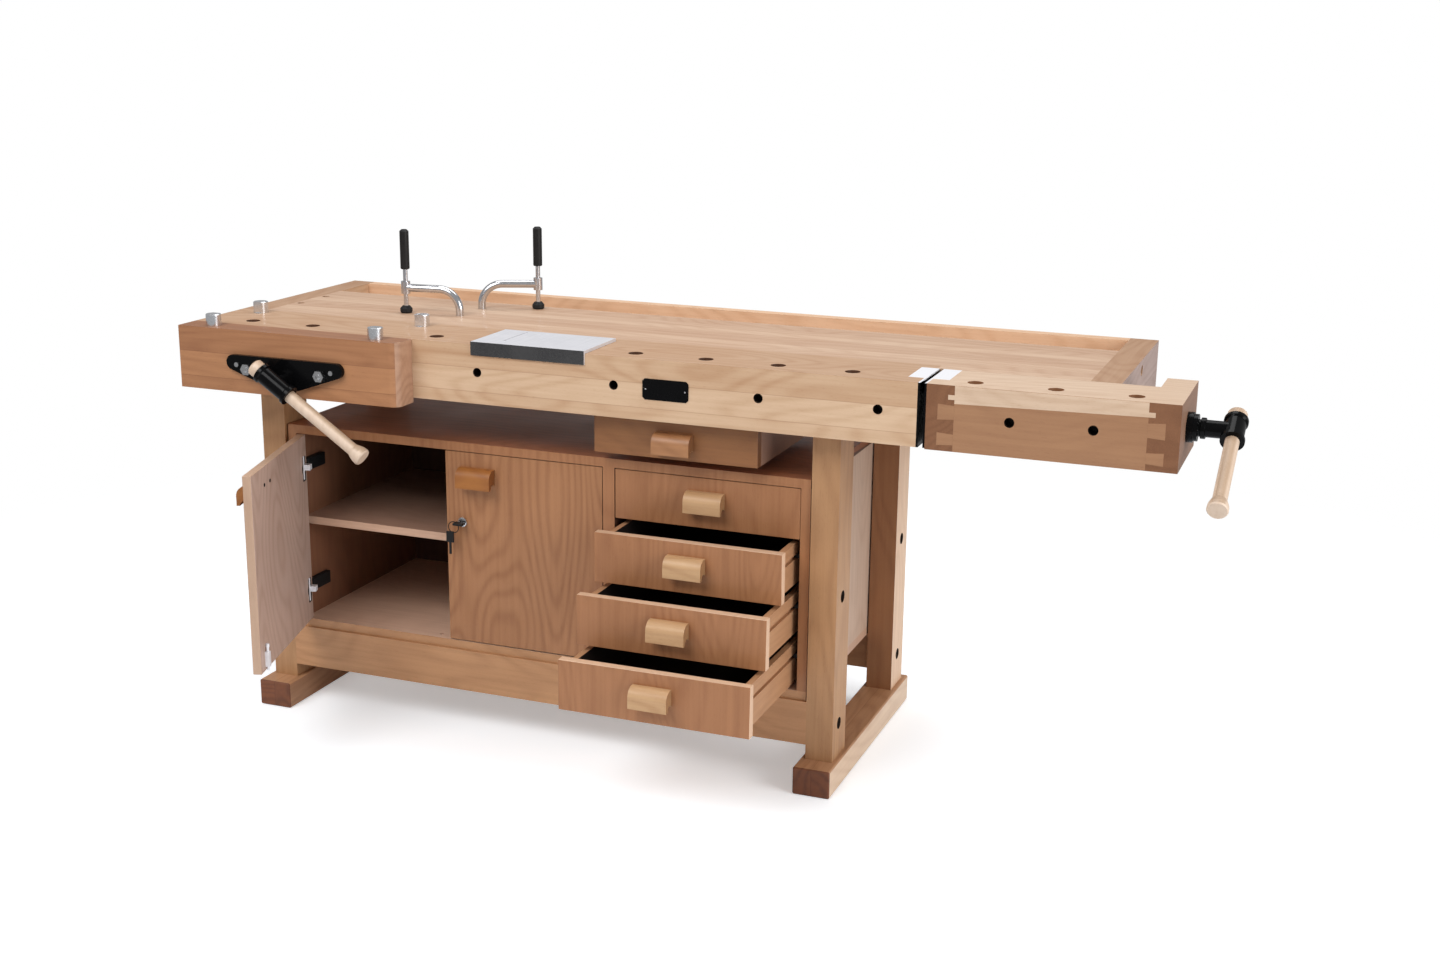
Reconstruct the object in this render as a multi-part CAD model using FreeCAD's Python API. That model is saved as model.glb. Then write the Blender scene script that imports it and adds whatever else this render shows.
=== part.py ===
import FreeCAD, Part
import math
import os

# Woodworking bench with a face vise, a tail vise and a cabinet base.
# Millimetres. While the bench is built, X runs along the bench from the left end of the top,
# Y runs back from the front of the dog strip, and Z runs up from the floor. At the end everything
# is moved so that the origin is on the floor under the middle of the whole box.
# Every board is given as ranges (low, high) along X, Y and Z.

# ---------------------------------------------------------------- bench top
HEIGHT = 870.0
TOP_LENGTH = 1942.6
TOP_DEPTH = 630.0
SLAB_THICK = 50.0
APRON_HEIGHT = 122.5        # depth of the dog strip and the end caps
STRIP_LENGTH = 1593.0       # dog strip, from the left end to the gap of the tail vise
STRIP_DEPTH = 175.0
NOTCH_DEPTH = 146.0         # room cut out of the slab for the tail vise
CAP_WIDTH = 58.0
CAP_HOLE = (11.0, 14.0, 400.0, 848.0)   # radius, depth, y, z of the plugged bolt hole
SLAB_BACK = 474.0           # rear edge of the slab, where the tool tray starts
BACK_BOARD = 30.0
BACK_BOARD_HEIGHT = 90.0
TRAY_FLOOR = 18.0
TRAY_LAP = 18.0             # how far the tray floor runs under the slab

DOG_RADIUS = 15.0
DOG_ROW_Y = 48.0
DOG_FIRST_X = 112.0
DOG_PITCH = 149.0
DOG_COUNT = 10
BENCH_DOGS = ((66.0, 143.0), (470.0, 143.0))
JAW_DOGS = ((70.0, -33.0), (463.0, -33.0))
DOG_SHAFT = 75.0            # length of a dog below the surface
DOG_HEAD = (16.0, 25.0)     # radius, height
DOG_FLAT = 12.0             # from the axis to the flat side of the head
SIDE_HOLE = (9.5, 35.0)     # radius, depth of the blind holes in the front
SIDE_HOLE_Z = 812.5
STRIP_HOLES_X = (677.0, 979.0, 1281.0, 1518.0)
POST_RADIUS = 8.5
POST_HOLES_X = (72.0, 480.0)
POST_ROWS_Y = (289.0, 391.0)
RUN_FIT = 0.05              # radial clearance of a shaft that turns or slides in its hole
FREE_FIT = 4.0              # radial clearance of a screw that only passes through

# ---------------------------------------------------------------- trestles
FOOT_WIDTH = 78.0
FOOT_Y = (20.5, 611.0)
FOOT_HEIGHT = 58.3
FOOT_EASE = 2.5
LEG_WIDTH = 57.0
LEG_XS = (106.5, 1371.0)
LEG_YS = ((69.0, 156.0), (503.5, 590.5))
STRETCHER_Z = (89.0, 181.0)
STRETCHER_DEPTH = 50.0
BOLT_ROWS_Y = (110.0, 548.0)
BOLT_ZS = (130.0, 400.0)
BOLT_HEAD = (9.5, 6.0)      # radius, height
BOLT_SHANK = 5.0
BOLT_POCKET = (12.5, 14.0)  # radius, depth

# ---------------------------------------------------------------- cabinet
CABINET_X = (167.5, 1367.5)
CABINET_Y = (75.0, 560.0)
CABINET_Z = (181.0, 642.4)
PANEL = 20.0
DECK = 19.0                 # thickness of the cabinet floor and ceiling
BACK_PANEL = 10.0
DIVIDER_X = (920.5, 946.5)
SHELF_Y = (95.0, 555.0)
SHELF_Z = (415.0, 432.0)
EASE = 0.8                  # chamfer along the edges of doors and drawer fronts

DOOR_THICK = 18.0
DOOR_Z = (202.0, 621.5)
LEFT_DOOR_X = (189.5, 553.5)
RIGHT_DOOR_X = (555.5, 919.0)
LEFT_DOOR_OPEN = 73.4       # degrees that the left door stands open
HINGE_ZS = (272.0, 549.0)
HINGE_CUP = (13.0, 11.0)    # radius, depth
HINGE_CUP_INSET = 20.0
HINGE_FLANGE = (16.0, 54.0, 1.5)   # width, height, thickness
HINGE_ARM = (12.0, 14.0)    # reach from the wall, half height
HINGE_ARM_Y = (98.0, 165.0)
HANDLE = (80.0, 27.0, 41.0)  # width, depth, height
HANDLE_ROUND = 20.0
HANDLE_GROOVE = 11.0
DOOR_HANDLE_INSET = 76.5    # handle middle, from the meeting edge of its door
DOOR_HANDLE_Z = 570.0
BOLT_INSET = 31.0           # drop bolt, from the meeting edge of the left door
DROP_BOLT = (3.0, 50.0, 8.0)     # radius, length, drop
BOLT_GUIDE = (10.0, 9.0, 32.0)   # width, depth, height
BOLT_KNOB = (4.0, 7.0)      # radius, height
LOCK_X = 594.0
LOCK_Z = 469.0
LOCK_RADIUS = 9.0
LOCK_PROUD = 3.0            # how far the lock stands out on both faces of the door
KEY_SHANK = 3.0
KEY_HEAD = (22.0, 17.0, 5.0)     # width, depth, height
KEY_HEAD_GAP = 10.0         # between the head and the door
KEY_RING = (12.0, 1.0)      # radius, thickness of the wire as a radius
KEY_RING_PLACE = (-12.0, -20.0, -8.0)    # middle of the ring, from the key's axis at the door's face
SPARE_HEAD = (17.0, 5.0, 24.0)   # width, depth, height
SPARE_BLADE = (5.0, 2.0, 26.0)

DRAWER_X = (948.2, 1346.4)
DRAWER_FRONT = 19.0
DRAWER_HEIGHT = 103.75
DRAWER_TOP = 621.7
DRAWER_PITCH = 105.77
DRAWER_OUT = (0.0, 103.8, 188.1, 274.3)    # how far each drawer stands out, from the top one down
DRAWER_BOX_X = (960.0, 1334.0)
DRAWER_BOX_LENGTH = 386.0
DRAWER_BOX_TRIM = (8.0, 10.0)    # box below and above, short of the front
DRAWER_SIDE = 12.0
DRAWER_FLOOR = 6.0
RUNNER = (18.5, 8.0)        # reach from the bay wall, height
RUNNER_RAISE = 13.0         # above the middle of its drawer
RUNNER_Y = (96.0, 545.0)
RUNNER_SLACK = 0.5
GROOVE_DEPTH = 6.0
DRAWER_HANDLE_RAISE = 4.0

TILL_X = (918.0, 1268.0)
TILL_Z = (663.0, 745.0)
TILL_FRONT_Y = 40.0
TILL_BACK_Y = 400.0
TILL_FRONT = 20.0
TILL_WALL = 12.0
TILL_HANDLE_Z = 697.0

# ---------------------------------------------------------------- vises
JAW_LENGTH = 527.4
JAW_DEPTH = 61.0
JAW_Z = (737.5, 870.0)
JAW_CORNER = 20.0
SCREW_RADIUS = 12.0
FACE_AXIS = (264.0, 773.0)  # x, z of the face vise screw
FACE_SCREW_END = 365.0
ROD_RADIUS = 10.0
ROD_SPACING = 88.0          # from the screw to each guide rod
ROD_Z = 791.0
ROD_END = 300.0
CASTING_THICK = 10.0
CASTING_LOBE = (16.0, 124.0, 803.0)   # radius, distance from the screw, z
CASTING_MIDDLE = (30.0, 775.0)        # radius, z
CASTING_BOSS = (24.0, 10.0)           # radius, height
CASTING_NUT = (22.0, 9.0)             # across the flats, height
CASTING_SCREW = (5.0, 3.0, 114.0, 799.0)  # radius, height, distance from the screw, z
FACE_HUB_Y = -103.0
FACE_BAR_ANGLE = 56.0       # degrees from straight down towards +X
FACE_NUT = (30.0, 30.0, 804.0)        # half width, depth, top

TAIL_Z = (745.4, 870.0)
TAIL_BLOCK_X = (1610.0, 1663.0)
TAIL_END_X = (2013.6, 2070.5)
TAIL_END_DEPTH = 233.0
TAIL_DEPTH = 145.0
TAIL_FRONT = 70.0
TAIL_TOP = 35.0
TAIL_DOG_Y = 43.0
TAIL_DOGS_X = (1691.0, 1840.0, 1985.0)
TAIL_HOLES_X = (1766.0, 1918.0)
TAIL_HOLE_Z = 810.0
TAIL_AXIS = (100.0, 810.0)  # y, z of the tail vise screw
TAIL_ROD = (190.0, 785.0)   # y, z of the tail vise guide rod
TAIL_ROD_END = 1700.0
TAIL_SCREW_END = 1700.0
TAIL_FLANGE = (28.0, 11.5)  # radius, thickness
TAIL_RING = (25.0, 8.0)
TAIL_HUB_X = 2153.0
TAIL_BAR_ANGLE = 65.0       # degrees from straight down towards the front
TAIL_NUT_X = (1890.0, 1940.0)
TAIL_NUT_Y = 85.0
TAIL_NUT_Z = (786.0, 833.0)

LINER = 4.0                 # plates on the two jaws of the tail vise
LINER_FLANGE = (35.0, 2.5)  # reach along X, thickness
LINER_FLANGE_Y = (46.0, 145.0)

FACE_HUB_HALF = 40.0
TAIL_HUB_HALF = 31.0
HUB_RADII = (19.0, 22.0)    # middle, collars
HUB_COLLAR = 7.0
NECK_RADIUS = 16.0
BAR_RADIUS = 13.0
KNOB_RADIUS = 19.0
KNOB_LENGTH = 26.0
FACE_BAR_END = 244.0        # along the bar, from the middle of the hub to the end of the knob
TAIL_BAR_END = 227.0
CAP_RADIUS = 18.0
CAP_LENGTH = 19.0
CAP_GAP = 1.0               # between the cap and the hub
TURN_GAP = 0.3              # between a turning shoulder and the casting it turns on

# ---------------------------------------------------------------- hold-downs and plate
ARM_REACH = 126.0
ARM_Z = 926.0
ARM_BEND = 46.0
ARM_BOSS_RADIUS = 10.0
ARM_BOSS_Z = (913.0, 940.0)
POST_END_Z = 800.0
SPINDLE_RADIUS = 5.0
PAD_RADIUS = 13.5
PAD_HEIGHT = 16.0
PAD_SOCKET = 8.0
PAD_GAP = 0.2               # an idle pad just clears the top
GRIP_RADIUS = 10.0
GRIP_Z = (967.0, 1054.0)
GRIP_BORE = 20.0            # how far the spindle runs into its grip
LEFT_ARM_TURN = 186.8       # degrees from +X
RIGHT_ARM_TURN = 24.4

PLATE_X = (665.0, 917.0)
PLATE_BACK = 150.0
PLATE_THICK = 6.0
PLATE_LIP = (4.0, 28.0)     # thickness, height
PLATE_SLOT_X = 722.0
PLATE_SLOT_Y = (36.0, 134.0)
PLATE_SLOT_WIDTH = 2.0
PLATE_SLOT_END = 3.0

UP = FreeCAD.Vector(0, 0, 1)
BACK = FreeCAD.Vector(0, 1, 0)
RIGHT = FreeCAD.Vector(1, 0, 0)
ORIGIN = FreeCAD.Vector(0, 0, 0)
APRON_Z = (HEIGHT - APRON_HEIGHT, HEIGHT)
SLAB_Z = (HEIGHT - SLAB_THICK, HEIGHT)
SLAB_X = (CAP_WIDTH, TOP_LENGTH - CAP_WIDTH)
TRAY_Z = (SLAB_Z[0] - TRAY_FLOOR, SLAB_Z[0])
TRAY_BACK = TOP_DEPTH - BACK_BOARD
INNER_X = (CABINET_X[0] + PANEL, CABINET_X[1] - PANEL)
INNER_Z = (CABINET_Z[0] + DECK, CABINET_Z[1] - DECK)
ROD_XS = (FACE_AXIS[0] - ROD_SPACING, FACE_AXIS[0] + ROD_SPACING)
JAW_FACE = -JAW_DEPTH
CASTING_FACE = JAW_FACE - CASTING_THICK
BOLT_X = LEFT_DOOR_X[1] - BOLT_INSET
BOLT_Y = CABINET_Y[0] + DOOR_THICK + BOLT_GUIDE[1] / 2

nodes = {}


# ---------------------------------------------------------------- helpers
def add(name, *solids):
    """Keep the solids as one named node."""
    nodes[name] = Part.makeCompound(list(solids)) if len(solids) > 1 else solids[0]


def board(x, y, z, ease=0.0):
    """A board between the given ranges, with its edges eased by a small chamfer."""
    corner = FreeCAD.Vector(x[0], y[0], z[0])
    solid = Part.makeBox(x[1] - x[0], y[1] - y[0], z[1] - z[0], corner)
    return solid.makeChamfer(ease, solid.Edges) if ease else solid


def rod(radius, start, direction, length):
    """A round bar or a drill from a start point along a direction."""
    return Part.makeCylinder(radius, length, FreeCAD.Vector(*start), direction)


def span(start, length):
    return (start, start + length)


def around(middle, width):
    return (middle - width / 2, middle + width / 2)


def extruded(points, y):
    """A closed outline of (x, z) points, extruded along Y."""
    corners = [FreeCAD.Vector(px, y[0], pz) for px, pz in points]
    face = Part.Face(Part.makePolygon(corners + corners[:1]))
    return face.extrude(FreeCAD.Vector(0, y[1] - y[0], 0))


def turned(profile, x=0.0, y=0.0):
    """A solid turned about a vertical axis, from (z, radius) points."""
    corners = [FreeCAD.Vector(radius, 0, z) for z, radius in profile]
    face = Part.Face(Part.makePolygon(corners + corners[:1]))
    solid = face.revolve(ORIGIN, UP, 360)
    solid.translate(FreeCAD.Vector(x, y, 0))
    return solid


def dog_hole(x, y, z=APRON_Z):
    return rod(DOG_RADIUS, (x, y, z[0] - 1), UP, z[1] - z[0] + 2)


def front_hole(x, z):
    return rod(SIDE_HOLE[0], (x, -1, z), BACK, SIDE_HOLE[1] + 1)


# ---------------------------------------------------------------- bench top
def bench_top():
    strip = board((0, STRIP_LENGTH), (0, STRIP_DEPTH), APRON_Z)
    through = STRIP_DEPTH + 2
    drills = [dog_hole(DOG_FIRST_X + DOG_PITCH * i, DOG_ROW_Y) for i in range(DOG_COUNT)]
    drills += [dog_hole(*place) for place in BENCH_DOGS]
    drills += [front_hole(x, SIDE_HOLE_Z) for x in STRIP_HOLES_X]
    drills += [rod(ROD_RADIUS + RUN_FIT, (x, -1, ROD_Z), BACK, through) for x in ROD_XS]
    drills.append(rod(SCREW_RADIUS + FREE_FIT, (FACE_AXIS[0], -1, FACE_AXIS[1]), BACK, through))
    drills.append(board((STRIP_LENGTH + LINER - LINER_FLANGE[0], STRIP_LENGTH + 1), LINER_FLANGE_Y,
                        (HEIGHT - LINER_FLANGE[1], HEIGHT + 1)))
    add("dog_strip", strip.cut(drills))

    slab = board(SLAB_X, (STRIP_DEPTH, SLAB_BACK), SLAB_Z)
    beside_tail = board((STRIP_LENGTH, SLAB_X[1]), (NOTCH_DEPTH, STRIP_DEPTH), SLAB_Z)
    drills = []
    for x in POST_HOLES_X:
        drills += [rod(POST_RADIUS + RUN_FIT, (x, y, SLAB_Z[0] - 1), UP, SLAB_THICK + 2) for y in POST_ROWS_Y]
    add("bench_slab", slab.fuse(beside_tail).removeSplitter().cut(drills))

    add("end_cap_left", board((0, CAP_WIDTH), (STRIP_DEPTH, TOP_DEPTH), APRON_Z))
    cap = board((SLAB_X[1], TOP_LENGTH), (NOTCH_DEPTH, TOP_DEPTH), APRON_Z)
    radius, depth, y, z = CAP_HOLE
    rod_passage = rod(ROD_RADIUS + RUN_FIT, (SLAB_X[1] - 1, *TAIL_ROD), RIGHT, CAP_WIDTH + 2)
    add("end_cap_right", cap.cut([rod(radius, (TOP_LENGTH - depth, y, z), RIGHT, depth + 1), rod_passage]))
    add("back_board", board(SLAB_X, (TRAY_BACK, TOP_DEPTH), (HEIGHT - BACK_BOARD_HEIGHT, HEIGHT)))
    add("tray_floor", board(SLAB_X, (SLAB_BACK - TRAY_LAP, TRAY_BACK), TRAY_Z))


# ---------------------------------------------------------------- trestles
def trestles():
    """Two feet, four legs, two bearers and two long rails, held by eight bolts."""
    low_z, high_z = BOLT_ZS
    rail_x = (LEG_XS[0] + LEG_WIDTH, LEG_XS[1])
    rails = [board(rail_x, span(LEG_YS[0][0], STRETCHER_DEPTH), STRETCHER_Z),
             board(rail_x, (LEG_YS[1][1] - STRETCHER_DEPTH, LEG_YS[1][1]), STRETCHER_Z)]
    feet, legs, bearers, bolts = [], [], [], []
    trestle_sides = (("cabinet_side_left", LEG_XS[0], 1), ("cabinet_side_right", LEG_XS[1], -1))
    for side_panel, x0, inwards in trestle_sides:
        leg_x = span(x0, LEG_WIDTH)
        outer = leg_x[0] if inwards > 0 else leg_x[1]
        middle = sum(leg_x) / 2
        head_x = outer + inwards * (BOLT_POCKET[1] - BOLT_HEAD[1])
        for row, (leg_y, bolt_y) in enumerate(zip(LEG_YS, BOLT_ROWS_Y)):
            leg = board(leg_x, leg_y, (FOOT_HEIGHT, APRON_Z[0]))
            for bolt_z in BOLT_ZS:
                past_leg = 40 if bolt_z == low_z else CABINET_X[0] - rail_x[0] + PANEL - 4
                shank_length = LEG_WIDTH - BOLT_POCKET[1] + past_leg
                shank_start = (outer + inwards * BOLT_POCKET[1], bolt_y, bolt_z)
                pocket_start = (outer - inwards, bolt_y, bolt_z)
                pocket = rod(BOLT_POCKET[0], pocket_start, RIGHT * inwards, BOLT_POCKET[1] + 1)
                passage = rod(BOLT_SHANK, shank_start, RIGHT * inwards, shank_length)
                head = rod(BOLT_HEAD[0], (head_x, bolt_y, bolt_z), RIGHT * inwards, BOLT_HEAD[1])
                bolts.append(head.fuse(passage).removeSplitter())
                leg = leg.cut([pocket, passage])
                if bolt_z == low_z:
                    rails[row] = rails[row].cut(passage)
                else:
                    nodes[side_panel] = nodes[side_panel].cut(passage)
            legs.append(leg)
        foot_x = (middle - FOOT_WIDTH / 2, middle + FOOT_WIDTH / 2)
        feet.append(board(foot_x, FOOT_Y, (0, FOOT_HEIGHT), FOOT_EASE))
        below_tray = board(leg_x, (STRIP_DEPTH, TRAY_BACK), (APRON_Z[0], TRAY_Z[0]))
        below_slab = board(leg_x, (STRIP_DEPTH, SLAB_BACK - TRAY_LAP), (APRON_Z[0], SLAB_Z[0]))
        bearers.append(below_tray.fuse(below_slab).removeSplitter())
    add("feet", *feet)
    add("legs", *legs)
    add("top_bearers", *bearers)
    add("front_stretcher", rails[0])
    add("rear_stretcher", rails[1])
    add("frame_bolts", *bolts)


# ---------------------------------------------------------------- cabinet carcass
def cabinet():
    bolt_socket = rod(DROP_BOLT[0] + 1, (BOLT_X, BOLT_Y, INNER_Z[0] - DECK / 2), UP, DECK)
    add("cabinet_top", board(CABINET_X, CABINET_Y, (INNER_Z[1], CABINET_Z[1])))
    add("cabinet_bottom", board(CABINET_X, CABINET_Y, (CABINET_Z[0], INNER_Z[0])).cut(bolt_socket))
    add("cabinet_side_left", board((CABINET_X[0], INNER_X[0]), CABINET_Y, INNER_Z))
    add("cabinet_side_right", board((INNER_X[1], CABINET_X[1]), CABINET_Y, INNER_Z))
    add("cabinet_divider", board(DIVIDER_X, CABINET_Y, INNER_Z))
    add("cabinet_back", board(CABINET_X, span(CABINET_Y[1], BACK_PANEL), CABINET_Z))
    add("cupboard_shelf", board((INNER_X[0], DIVIDER_X[0]), SHELF_Y, SHELF_Z))

    runners = []
    for index in range(len(DRAWER_OUT)):
        z = span(drawer_middle(index) + RUNNER_RAISE - RUNNER[1] / 2, RUNNER[1])
        runners.append(board(span(DIVIDER_X[1], RUNNER[0]), RUNNER_Y, z))
        runners.append(board((INNER_X[1] - RUNNER[0], INNER_X[1]), RUNNER_Y, z))
    add("drawer_runners", *runners)

    arms = []
    reach, half = HINGE_ARM
    for z in HINGE_ZS:
        for wall in (span(INNER_X[0], reach), (DIVIDER_X[0] - reach, DIVIDER_X[0])):
            arms.append(board(wall, HINGE_ARM_Y, (z - half, z + half), EASE))
    add("hinge_arms", *arms)


def drawer_middle(index):
    """Height of the middle of a drawer front, counted from the top drawer."""
    return DRAWER_TOP - index * DRAWER_PITCH - DRAWER_HEIGHT / 2


# ---------------------------------------------------------------- doors
def handle(middle_x, front_y, middle_z):
    """A wooden pull with a rounded front edge on top and a finger groove along its underside."""
    width, depth, height = HANDLE
    x = (middle_x - width / 2, middle_x + width / 2)
    z = (middle_z - height / 2, middle_z + height / 2)
    block = board(x, (front_y - depth, front_y), z)
    rounded = [edge for edge in block.Edges
               if edge.CenterOfMass.distanceToPoint(FreeCAD.Vector(middle_x, front_y - depth, z[1])) < 1]
    block = block.makeFillet(HANDLE_ROUND, rounded)
    return block.cut(rod(HANDLE_GROOVE, (x[0] - 1, front_y - depth / 3, z[0]), RIGHT, width + 2))


def hinged_leaf(x, hinge_x, inwards):
    """A door leaf with two cup hinges let into its inner face."""
    inner = CABINET_Y[0] + DOOR_THICK
    leaf = board(x, (CABINET_Y[0], inner), DOOR_Z, EASE)
    radius, depth = HINGE_CUP
    width, height, thick = HINGE_FLANGE
    cup_x = hinge_x + inwards * HINGE_CUP_INSET
    cups = []
    for z in HINGE_ZS:
        cup = rod(radius, (cup_x, inner - depth, z), BACK, depth)
        flange_x = (cup_x - width / 2, cup_x + width / 2)
        flange = board(flange_x, (inner, inner + thick), (z - height / 2, z + height / 2))
        cups.append(cup.fuse(flange).removeSplitter())
        leaf = leaf.cut(cup)
    return leaf, cups


def left_door():
    """Built shut, then swung open about its hinge edge."""
    leaf, cups = hinged_leaf(LEFT_DOOR_X, LEFT_DOOR_X[0], 1)
    inner = CABINET_Y[0] + DOOR_THICK
    width, depth, height = BOLT_GUIDE
    radius, length, drop = DROP_BOLT
    bolt_low = DOOR_Z[0]
    guide_low = DOOR_Z[0] + drop
    guide = board((BOLT_X - width / 2, BOLT_X + width / 2), (inner, inner + depth), span(guide_low, height))
    guide = guide.cut(rod(radius + RUN_FIT, (BOLT_X, BOLT_Y, guide_low - 1), UP, height + 2))
    bolt = rod(radius, (BOLT_X, BOLT_Y, bolt_low), UP, length)
    bolt = bolt.fuse(rod(BOLT_KNOB[0], (BOLT_X, BOLT_Y, bolt_low + length), UP, BOLT_KNOB[1]))
    pull = handle(LEFT_DOOR_X[1] - DOOR_HANDLE_INSET, CABINET_Y[0], DOOR_HANDLE_Z)
    hinge_line = FreeCAD.Vector(LEFT_DOOR_X[0], CABINET_Y[0], 0)
    pieces = {
        "left_door": [leaf],
        "left_door_fittings": [pull, guide] + cups,
        "door_bolt": [bolt.removeSplitter()],
    }
    for name, solids in pieces.items():
        for solid in solids:
            solid.rotate(hinge_line, UP, -LEFT_DOOR_OPEN)
        add(name, *solids)


def right_door():
    """Shut, with a lock, its key, and a second key hanging from the same ring."""
    leaf, cups = hinged_leaf(RIGHT_DOOR_X, RIGHT_DOOR_X[1], -1)
    face = CABINET_Y[0]
    lock_length = DOOR_THICK + 2 * LOCK_PROUD
    lock = rod(LOCK_RADIUS, (LOCK_X, face - LOCK_PROUD, LOCK_Z), BACK, lock_length)
    leaf = leaf.cut(lock)
    lock = lock.cut(rod(KEY_SHANK + RUN_FIT, (LOCK_X, face - LOCK_PROUD - 1, LOCK_Z), BACK, DOOR_THICK))
    pull = handle(RIGHT_DOOR_X[0] + DOOR_HANDLE_INSET, face, DOOR_HANDLE_Z)
    add("right_door", leaf)
    add("right_door_fittings", pull, lock, *cups)

    width, depth, height = KEY_HEAD
    head_back = face - KEY_HEAD_GAP
    head = board(around(LOCK_X, width), (head_back - depth, head_back), around(LOCK_Z, height), EASE)
    shank = rod(KEY_SHANK, (LOCK_X, head_back, LOCK_Z), BACK, DOOR_THICK)
    ring_radius, wire = KEY_RING
    ring_middle = FreeCAD.Vector(LOCK_X, face, LOCK_Z) + FreeCAD.Vector(*KEY_RING_PLACE)
    ring = Part.makeTorus(ring_radius, wire, ring_middle, BACK)
    width, depth, height = SPARE_HEAD
    spare_middle = ring_middle.x - width / 2
    spare_low = ring_middle.z - ring_radius + 2 * wire - height
    spare = board(around(spare_middle, width), around(ring_middle.y, depth), span(spare_low, height), EASE)
    width, depth, height = SPARE_BLADE
    blade_z = span(spare_low - height, height)
    spare_blade = board(around(spare_middle, width), around(ring_middle.y, depth), blade_z)
    key = head.multiFuse([shank, ring, spare, spare_blade]).removeSplitter()
    add("door_key", key)


# ---------------------------------------------------------------- drawers
def drawer_box(x, y, z):
    """Two sides, a back and a bottom; the front board closes the box."""
    inside = (x[0] + DRAWER_SIDE, x[1] - DRAWER_SIDE)
    sides = [board((x[0], inside[0]), y, z), board((inside[1], x[1]), y, z)]
    rear = board(inside, (y[1] - DRAWER_SIDE, y[1]), z)
    bottom = board(inside, (y[0], y[1] - DRAWER_SIDE), span(z[0], DRAWER_FLOOR))
    return sides, [rear, bottom]


def drawers():
    middle_x = sum(DRAWER_X) / 2
    below, above = DRAWER_BOX_TRIM
    for index, out in enumerate(DRAWER_OUT):
        middle_z = drawer_middle(index)
        z = (middle_z - DRAWER_HEIGHT / 2, middle_z + DRAWER_HEIGHT / 2)
        front_y = CABINET_Y[0] - out
        front = board(DRAWER_X, span(front_y, DRAWER_FRONT), z, EASE)
        box_y = span(front_y + DRAWER_FRONT, DRAWER_BOX_LENGTH)
        sides, rest = drawer_box(DRAWER_BOX_X, box_y, (z[0] + below, z[1] - above))
        half_groove = RUNNER[1] / 2 + RUNNER_SLACK
        groove_z = (middle_z + RUNNER_RAISE - half_groove, middle_z + RUNNER_RAISE + half_groove)
        groove_y = (box_y[0] - 1, box_y[1] + 1)
        left_groove = board(span(DRAWER_BOX_X[0], GROOVE_DEPTH), groove_y, groove_z)
        right_groove = board((DRAWER_BOX_X[1] - GROOVE_DEPTH, DRAWER_BOX_X[1]), groove_y, groove_z)
        sides = [sides[0].cut(left_groove), sides[1].cut(right_groove)]
        name = "drawer_%d" % (index + 1)
        add(name, front, *sides, *rest)
        add(name + "_handle", handle(middle_x, front_y, middle_z + DRAWER_HANDLE_RAISE))


def till():
    """The small drawer under the top, in a housing hung from the slab."""
    back_of_front = TILL_FRONT_Y + TILL_FRONT
    housing = []
    for x in (span(TILL_X[0], TILL_WALL), (TILL_X[1] - TILL_WALL, TILL_X[1])):
        low = board(x, (back_of_front, TILL_BACK_Y), (TILL_Z[0], APRON_Z[0]))
        high = board(x, (STRIP_DEPTH, TILL_BACK_Y), (APRON_Z[0], SLAB_Z[0]))
        housing.append(low.fuse(high).removeSplitter())
    inside = (TILL_X[0] + TILL_WALL, TILL_X[1] - TILL_WALL)
    housing.append(board(inside, (back_of_front, TILL_BACK_Y), span(TILL_Z[0], DRAWER_FLOOR)))
    add("till_housing", *housing)

    front = board(TILL_X, (TILL_FRONT_Y, back_of_front), TILL_Z, EASE)
    slack = 1.0
    box_z = (TILL_Z[0] + DRAWER_FLOOR + slack, TILL_Z[1] - 2 * slack)
    sides, rest = drawer_box((inside[0] + slack, inside[1] - slack), (back_of_front, TILL_BACK_Y - 10), box_z)
    add("till_drawer", front, *sides, *rest)
    add("till_handle", handle(sum(TILL_X) / 2, TILL_FRONT_Y, TILL_HANDLE_Z))


# ---------------------------------------------------------------- vises
def vise_screw(hub_half, neck, length):
    """Hub, neck and screw: the hub's middle is at the origin and the screw runs along +Y."""
    middle, collar = HUB_RADII
    half_profile = [(hub_half, 0), (hub_half, collar), (hub_half - HUB_COLLAR, collar),
                    (hub_half - HUB_COLLAR - 3, middle)]
    hub = turned(half_profile + [(-z, radius) for z, radius in reversed(half_profile)])
    solid = hub.fuse([rod(NECK_RADIUS, ORIGIN, BACK, neck), rod(SCREW_RADIUS, ORIGIN, BACK, length)])
    bore = rod(BAR_RADIUS + RUN_FIT, (0, 0, -hub_half - 1), UP, 2 * hub_half + 2)
    return solid.cut(bore).removeSplitter()


def vise_bar(hub_half, bar_end):
    """Wooden bar along Z through the hub, with a turned knob below and a cap above."""
    knob_start = KNOB_LENGTH - bar_end
    cap_start = hub_half + CAP_GAP
    cap_end = cap_start + CAP_LENGTH
    stick = rod(BAR_RADIUS, (0, 0, knob_start), UP, cap_start - knob_start)
    knob = turned([(knob_start, 0), (knob_start, BAR_RADIUS + 1), (knob_start - 5, KNOB_RADIUS - 3),
                   (knob_start - 14, KNOB_RADIUS - 0.5), (-bar_end + 3, KNOB_RADIUS),
                   (-bar_end, KNOB_RADIUS - 2), (-bar_end, 0)])
    cap = turned([(cap_start, 0), (cap_start, CAP_RADIUS - 1), (cap_start + 1, CAP_RADIUS),
                  (cap_end - 3, CAP_RADIUS), (cap_end, CAP_RADIUS - 3), (cap_end, 0)])
    return [stick, knob, cap]


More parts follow.
